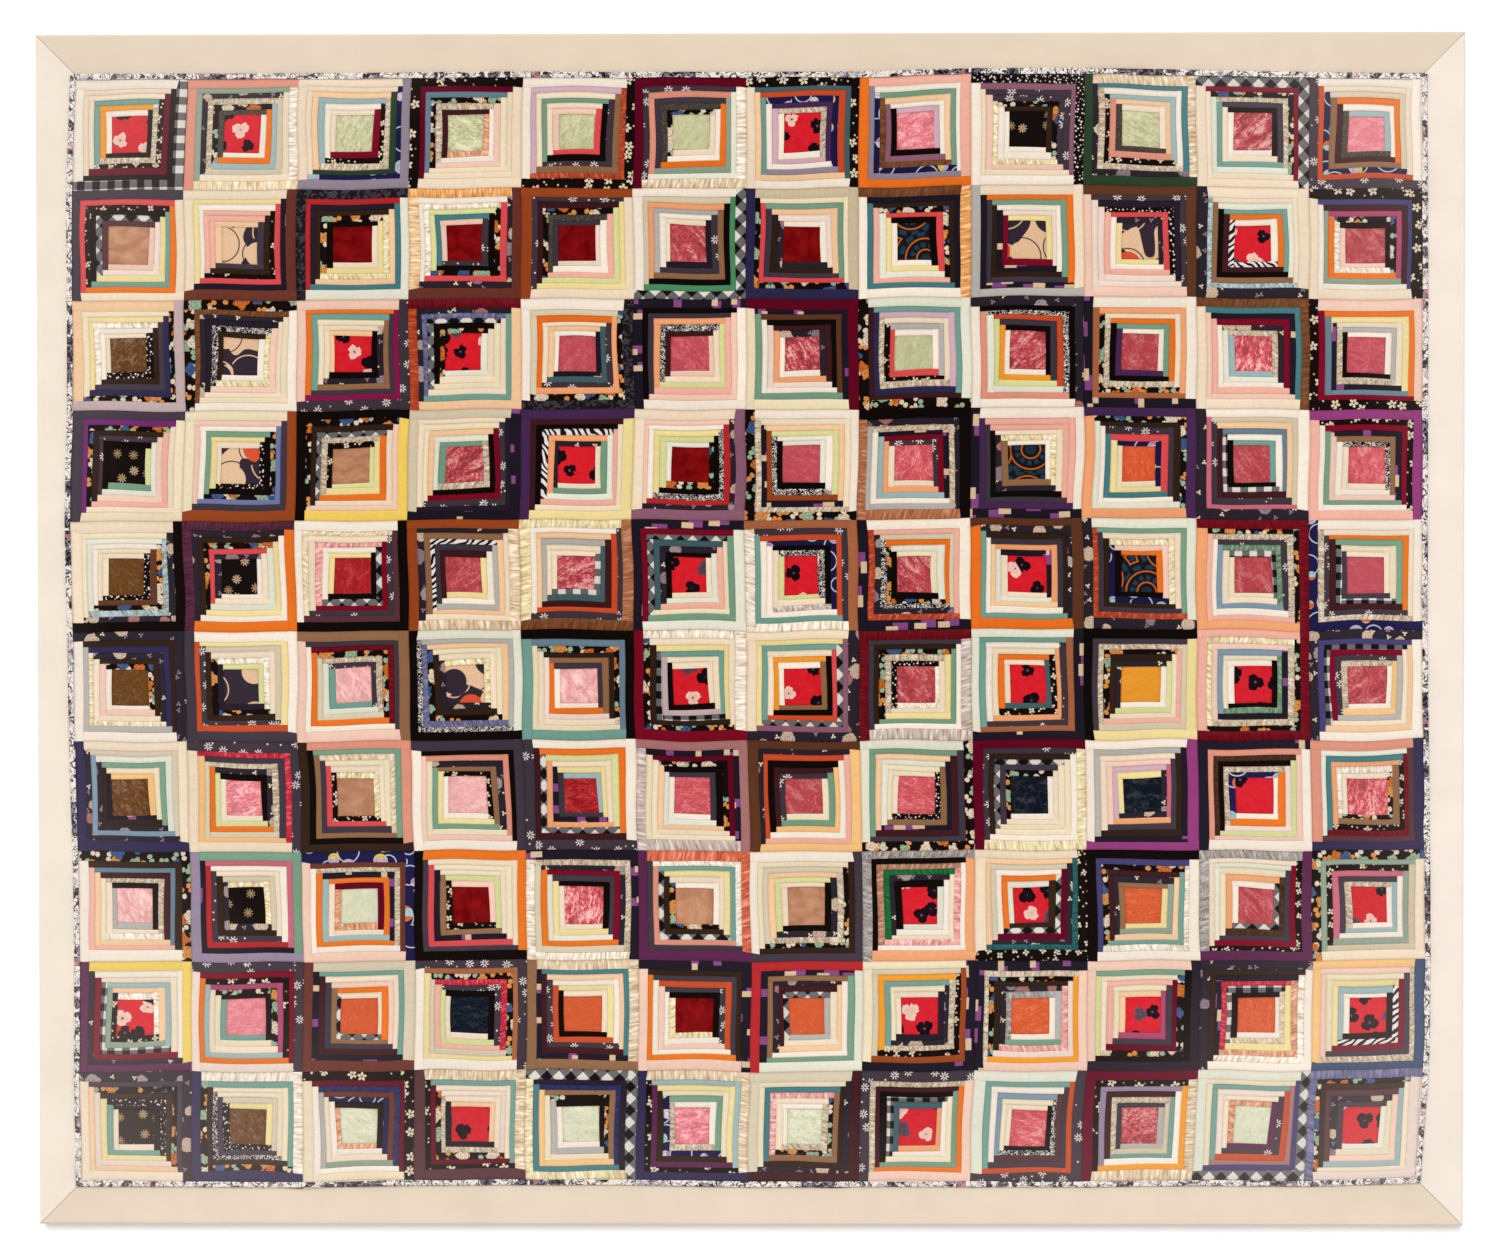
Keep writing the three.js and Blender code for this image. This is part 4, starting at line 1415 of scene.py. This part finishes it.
def make_binding(side, material):
    """One side's binding, mitred at the corners as in the CAD model, with a slightly uneven width."""
    lies = side in ("top", "bottom")
    blocks = COLUMNS if lies else ROWS
    pitch = BLOCK_WIDTH if lies else BLOCK_HEIGHT
    stations = np.linspace(0, blocks, int(blocks * pitch / BINDING_STATION) + 1)
    if side in ("top", "right"):
        stations = stations[::-1]
    sign = -1 if side in ("top", "right") else 1
    corner_column = COLUMNS if side == "right" else 0
    corner_row = ROWS if side == "bottom" else 0
    half = HALF_HEIGHT if lies else HALF_WIDTH

    def place_at(station, inward, z):
        way = station * WAVE_STEP
        width = 1 + WIDTH_WAVE * ripple(way, 0.0, WIDTH_WAVELENGTH, SEED + 20 + len(side))
        inward = np.where(inward > BINDING_WIDTH / 2, inward * width, inward)
        edge = sign * inward - sign * (half + edge_reach(side, station))
        mitre = inward + MITRE_GAP
        shift = np.where(station == 0, mitre, 0.0) - np.where(station == blocks, mitre, 0.0)
        column, row = (station, corner_row) if lies else (corner_column, station)
        x, y = quilt_point(column, row, 0.0)
        lift = BINDING_LIFT * ripple(way, inward, BINDING_WAVELENGTH, SEED + 30)
        places = (x + shift, edge, z + lift) if lies else (edge, y - shift, z + lift)
        return np.stack(np.broadcast_arrays(*places), axis=-1)

    name = f"binding_cloth_{side}"
    piece = swept_strip(name, binding_section(), stations, place_at, material, BINDING_BANDS)
    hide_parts(f"binding_{side}")
    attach(piece, "root")


def border_cloth(name, colour):
    """The frame's plain cream cotton, with a little soiling and a stitched line at each mitred corner."""
    recipe = Recipe(name)
    place = recipe.cloth()
    broad = recipe.ramp(recipe.noise(recipe.world_place(), 120 * MM, detail=3.0), 0.3, 0.7, 0.985, 1.015)
    threads = recipe.ramp(recipe.noise(recipe.stretched(place, 0.2, 1.0), 1.1 * MM), 0.3, 0.7, 0.98, 1.01)
    colour = recipe.shaded(recipe.shaded(colour, threads), broad)
    x, y, _ = recipe.split(recipe.vector("ABSOLUTE", recipe.world_place()))
    from_mitre = recipe.away(recipe.math("SUBTRACT", x, y), -MITRE_OFFSET)
    stitch = recipe.times(inside(recipe, from_mitre, 0.8 * MM, 0.5 * MM), 0.45)
    colour = recipe.mix(stitch, colour, dye(150, 118, 86, COTTON))
    return recipe.finish(colour, recipe.weave(place, 0.8 * MM), 0.14 * MM, tone=0.0, glare=0.0)


BORDER_THICKNESS = 1.3 * MM
BORDER_RADIUS = 3.2 * MM
BORDER_STATION = 12 * MM
BORDER_BANDS = 5

# How uneven its face is, inside its folded edge
BORDER_LIFT, BORDER_WAVELENGTH = 0.12 * MM, 0.09
BORDER_FOLD = 4 * MM

# A faint seam across the right border, near its lower end
BORDER_JOIN_Y = -0.726
BORDER_JOIN_DIP = 0.4 * MM


def border_section():
    """The border cloth's line: up the rail's outer side, over a soft edge and in across its face."""
    half = BORDER_THICKNESS / 2
    top = BORDER_TOP - half
    turns = np.linspace(0, math.pi / 2, 8)
    start, low = half + BORDER_RADIUS, top - BORDER_RADIUS
    side = [(half, z) for z in np.linspace(BORDER_HEM, low, 5)[:-1]]
    bend = [(start - BORDER_RADIUS * math.cos(turn), low + BORDER_RADIUS * math.sin(turn)) for turn in turns]
    face = [(inward, top) for inward in np.linspace(start, BORDER_FACE, 10)[1:]]
    return thick_line((side + bend + face)[::-1], BORDER_THICKNESS)


BORDER_SIDES = {
    "bottom": (FRAME_HALF_WIDTH, FRAME_HALF_HEIGHT, 0),
    "right": (FRAME_HALF_HEIGHT, FRAME_HALF_WIDTH, 1),
    "top": (FRAME_HALF_WIDTH, FRAME_HALF_HEIGHT, 2),
    "left": (FRAME_HALF_HEIGHT, FRAME_HALF_WIDTH, 3),
}


def make_border(side, material):
    """One side's border cloth with its mitred ends, made for the bottom side and turned into place."""
    half_length, half_across, quarter_turns = BORDER_SIDES[side]
    stations = np.linspace(-1, 1, int(2 * half_length / BORDER_STATION) + 1)
    cosine, sine = [(1, 0), (0, 1), (-1, 0), (0, -1)][quarter_turns]

    def place_at(station, inward, z):
        reach = half_length - np.maximum(inward, 0.0) - MITRE_GAP
        x = station * reach
        y = inward - half_across
        place_x = x * cosine - y * sine
        place_y = x * sine + y * cosine
        waves = BORDER_LIFT * ripple(place_x, place_y, BORDER_WAVELENGTH, SEED + 40)
        lift = np.where(inward > BORDER_FOLD, waves, 0.0)
        if side == "right":
            at_join = np.abs(place_y - BORDER_JOIN_Y) < BORDER_STATION / 2
            lift = lift - np.where(at_join, BORDER_JOIN_DIP, 0.0)
        return np.stack(np.broadcast_arrays(place_x, place_y, z + lift), axis=-1)

    name = f"border_cloth_{side}"
    piece = swept_strip(name, border_section(), stations, place_at, material, BORDER_BANDS)
    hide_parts(f"border_{side}")
    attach(piece, "root")


# The wood's figure is drawn out along the grain, by this scale
ALONG_GRAIN = 0.04


def pine(name, stretch):
    """Planed pine, with its grain along the rail."""
    recipe = Recipe(name, roughness=0.6, gloss=0.3)
    place = recipe.stretched(recipe.world_place(), *stretch)
    grain = recipe.noise(place, 5 * MM, detail=4.0, twist=1.5)
    pores = recipe.noise(place, 0.9 * MM)
    colour = recipe.mix(recipe.ramp(grain, 0.35, 0.65), dye(190, 148, 98), dye(222, 188, 140))
    colour = recipe.mix(recipe.ramp(pores, 0.55, 0.75, 0.0, 0.25), colour, dye(150, 108, 66))
    recipe.feed(recipe.shader.inputs["Base Color"], colour)
    recipe.bump(pores, 0.1 * MM)
    return recipe.material


# Build the object
backing = backing_cloth()
for row in range(ROWS):
    piece = make_row(row, backing)
    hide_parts("quilt")
    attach(piece, "root")

# Painted light and shade: the photo's light makes the four sides of the same cotton slightly different, so
# each side is given its own lit colour
BORDER_LIT_TONES = {
    "top": (232, 214, 192),
    "right": (248, 235, 221),
    "bottom": (235, 217, 195),
    "left": (246, 232, 215),
}
binding_material = binding_cloth()
for side, tone in BORDER_LIT_TONES.items():
    make_border(side, border_cloth(f"border_{side}_cotton", dye(*tone, COTTON)))
    make_binding(side, binding_material)

pine_across = pine("pine_across", (ALONG_GRAIN, 1.0))
pine_upright = pine("pine_upright", (1.0, ALONG_GRAIN))
for side in BORDER_LIT_TONES:
    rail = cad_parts[f"rail_{side}"]
    rail.data.materials.clear()
    rail.data.materials.append(pine_across if side in ("top", "bottom") else pine_upright)

# Floor, light and camera
FLOOR_REACH = 7.0
FLOOR_DROP = 0.5 * MM
PAPER_WHITE = (0.97, 0.97, 0.97, 1.0)
ROOM_LIGHT = 0.71
KEY_LIGHT = 1.59
KEY_WIDTH = math.radians(24)
KEY_TURN = (math.radians(-25), math.radians(-8), 0.0)
floor_mesh = bpy.data.meshes.new("floor")
around_floor = ((-1, -1), (1, -1), (1, 1), (-1, 1))
floor_corners = [(x * FLOOR_REACH, y * FLOOR_REACH, -FLOOR_DROP) for x, y in around_floor]
floor_mesh.from_pydata(floor_corners, [], [(0, 1, 2, 3)])
floor = bpy.data.objects.new("floor", floor_mesh)
bpy.context.scene.collection.objects.link(floor)
floor_recipe = Recipe("floor_paper", roughness=1.0, gloss=0.0)
floor_recipe.shader.inputs["Base Color"].default_value = PAPER_WHITE
floor_mesh.materials.append(floor_recipe.material)

world = bpy.data.worlds.new("soft_room")
world.use_nodes = True
background = world.node_tree.nodes["Background"]
background.inputs["Color"].default_value = (1.0, 1.0, 1.0, 1.0)
background.inputs["Strength"].default_value = ROOM_LIGHT
bpy.context.scene.world = world

key_data = bpy.data.lights.new("key", "SUN")
key_data.energy = KEY_LIGHT
key_data.angle = KEY_WIDTH
key = bpy.data.objects.new("key", key_data)
key.rotation_euler = KEY_TURN
bpy.context.scene.collection.objects.link(key)

# The camera looks straight down from 5 m, a degree off square, as the frame's corners in the photo show
LENS = 88.0
SENSOR_WIDTH = 36.0
CAMERA_PLACE = (0.0551, 0.0823, 5.0056)
CAMERA_TURN = (math.radians(-0.939), math.radians(0.623), math.radians(-0.042))
camera_data = bpy.data.cameras.new("camera")
camera_data.lens = LENS
camera_data.sensor_width = SENSOR_WIDTH
camera = bpy.data.objects.new("camera", camera_data)
camera.location = CAMERA_PLACE
camera.rotation_euler = CAMERA_TURN
bpy.context.scene.collection.objects.link(camera)
bpy.context.scene.camera = camera
bpy.context.scene.view_settings.view_transform = "Standard"
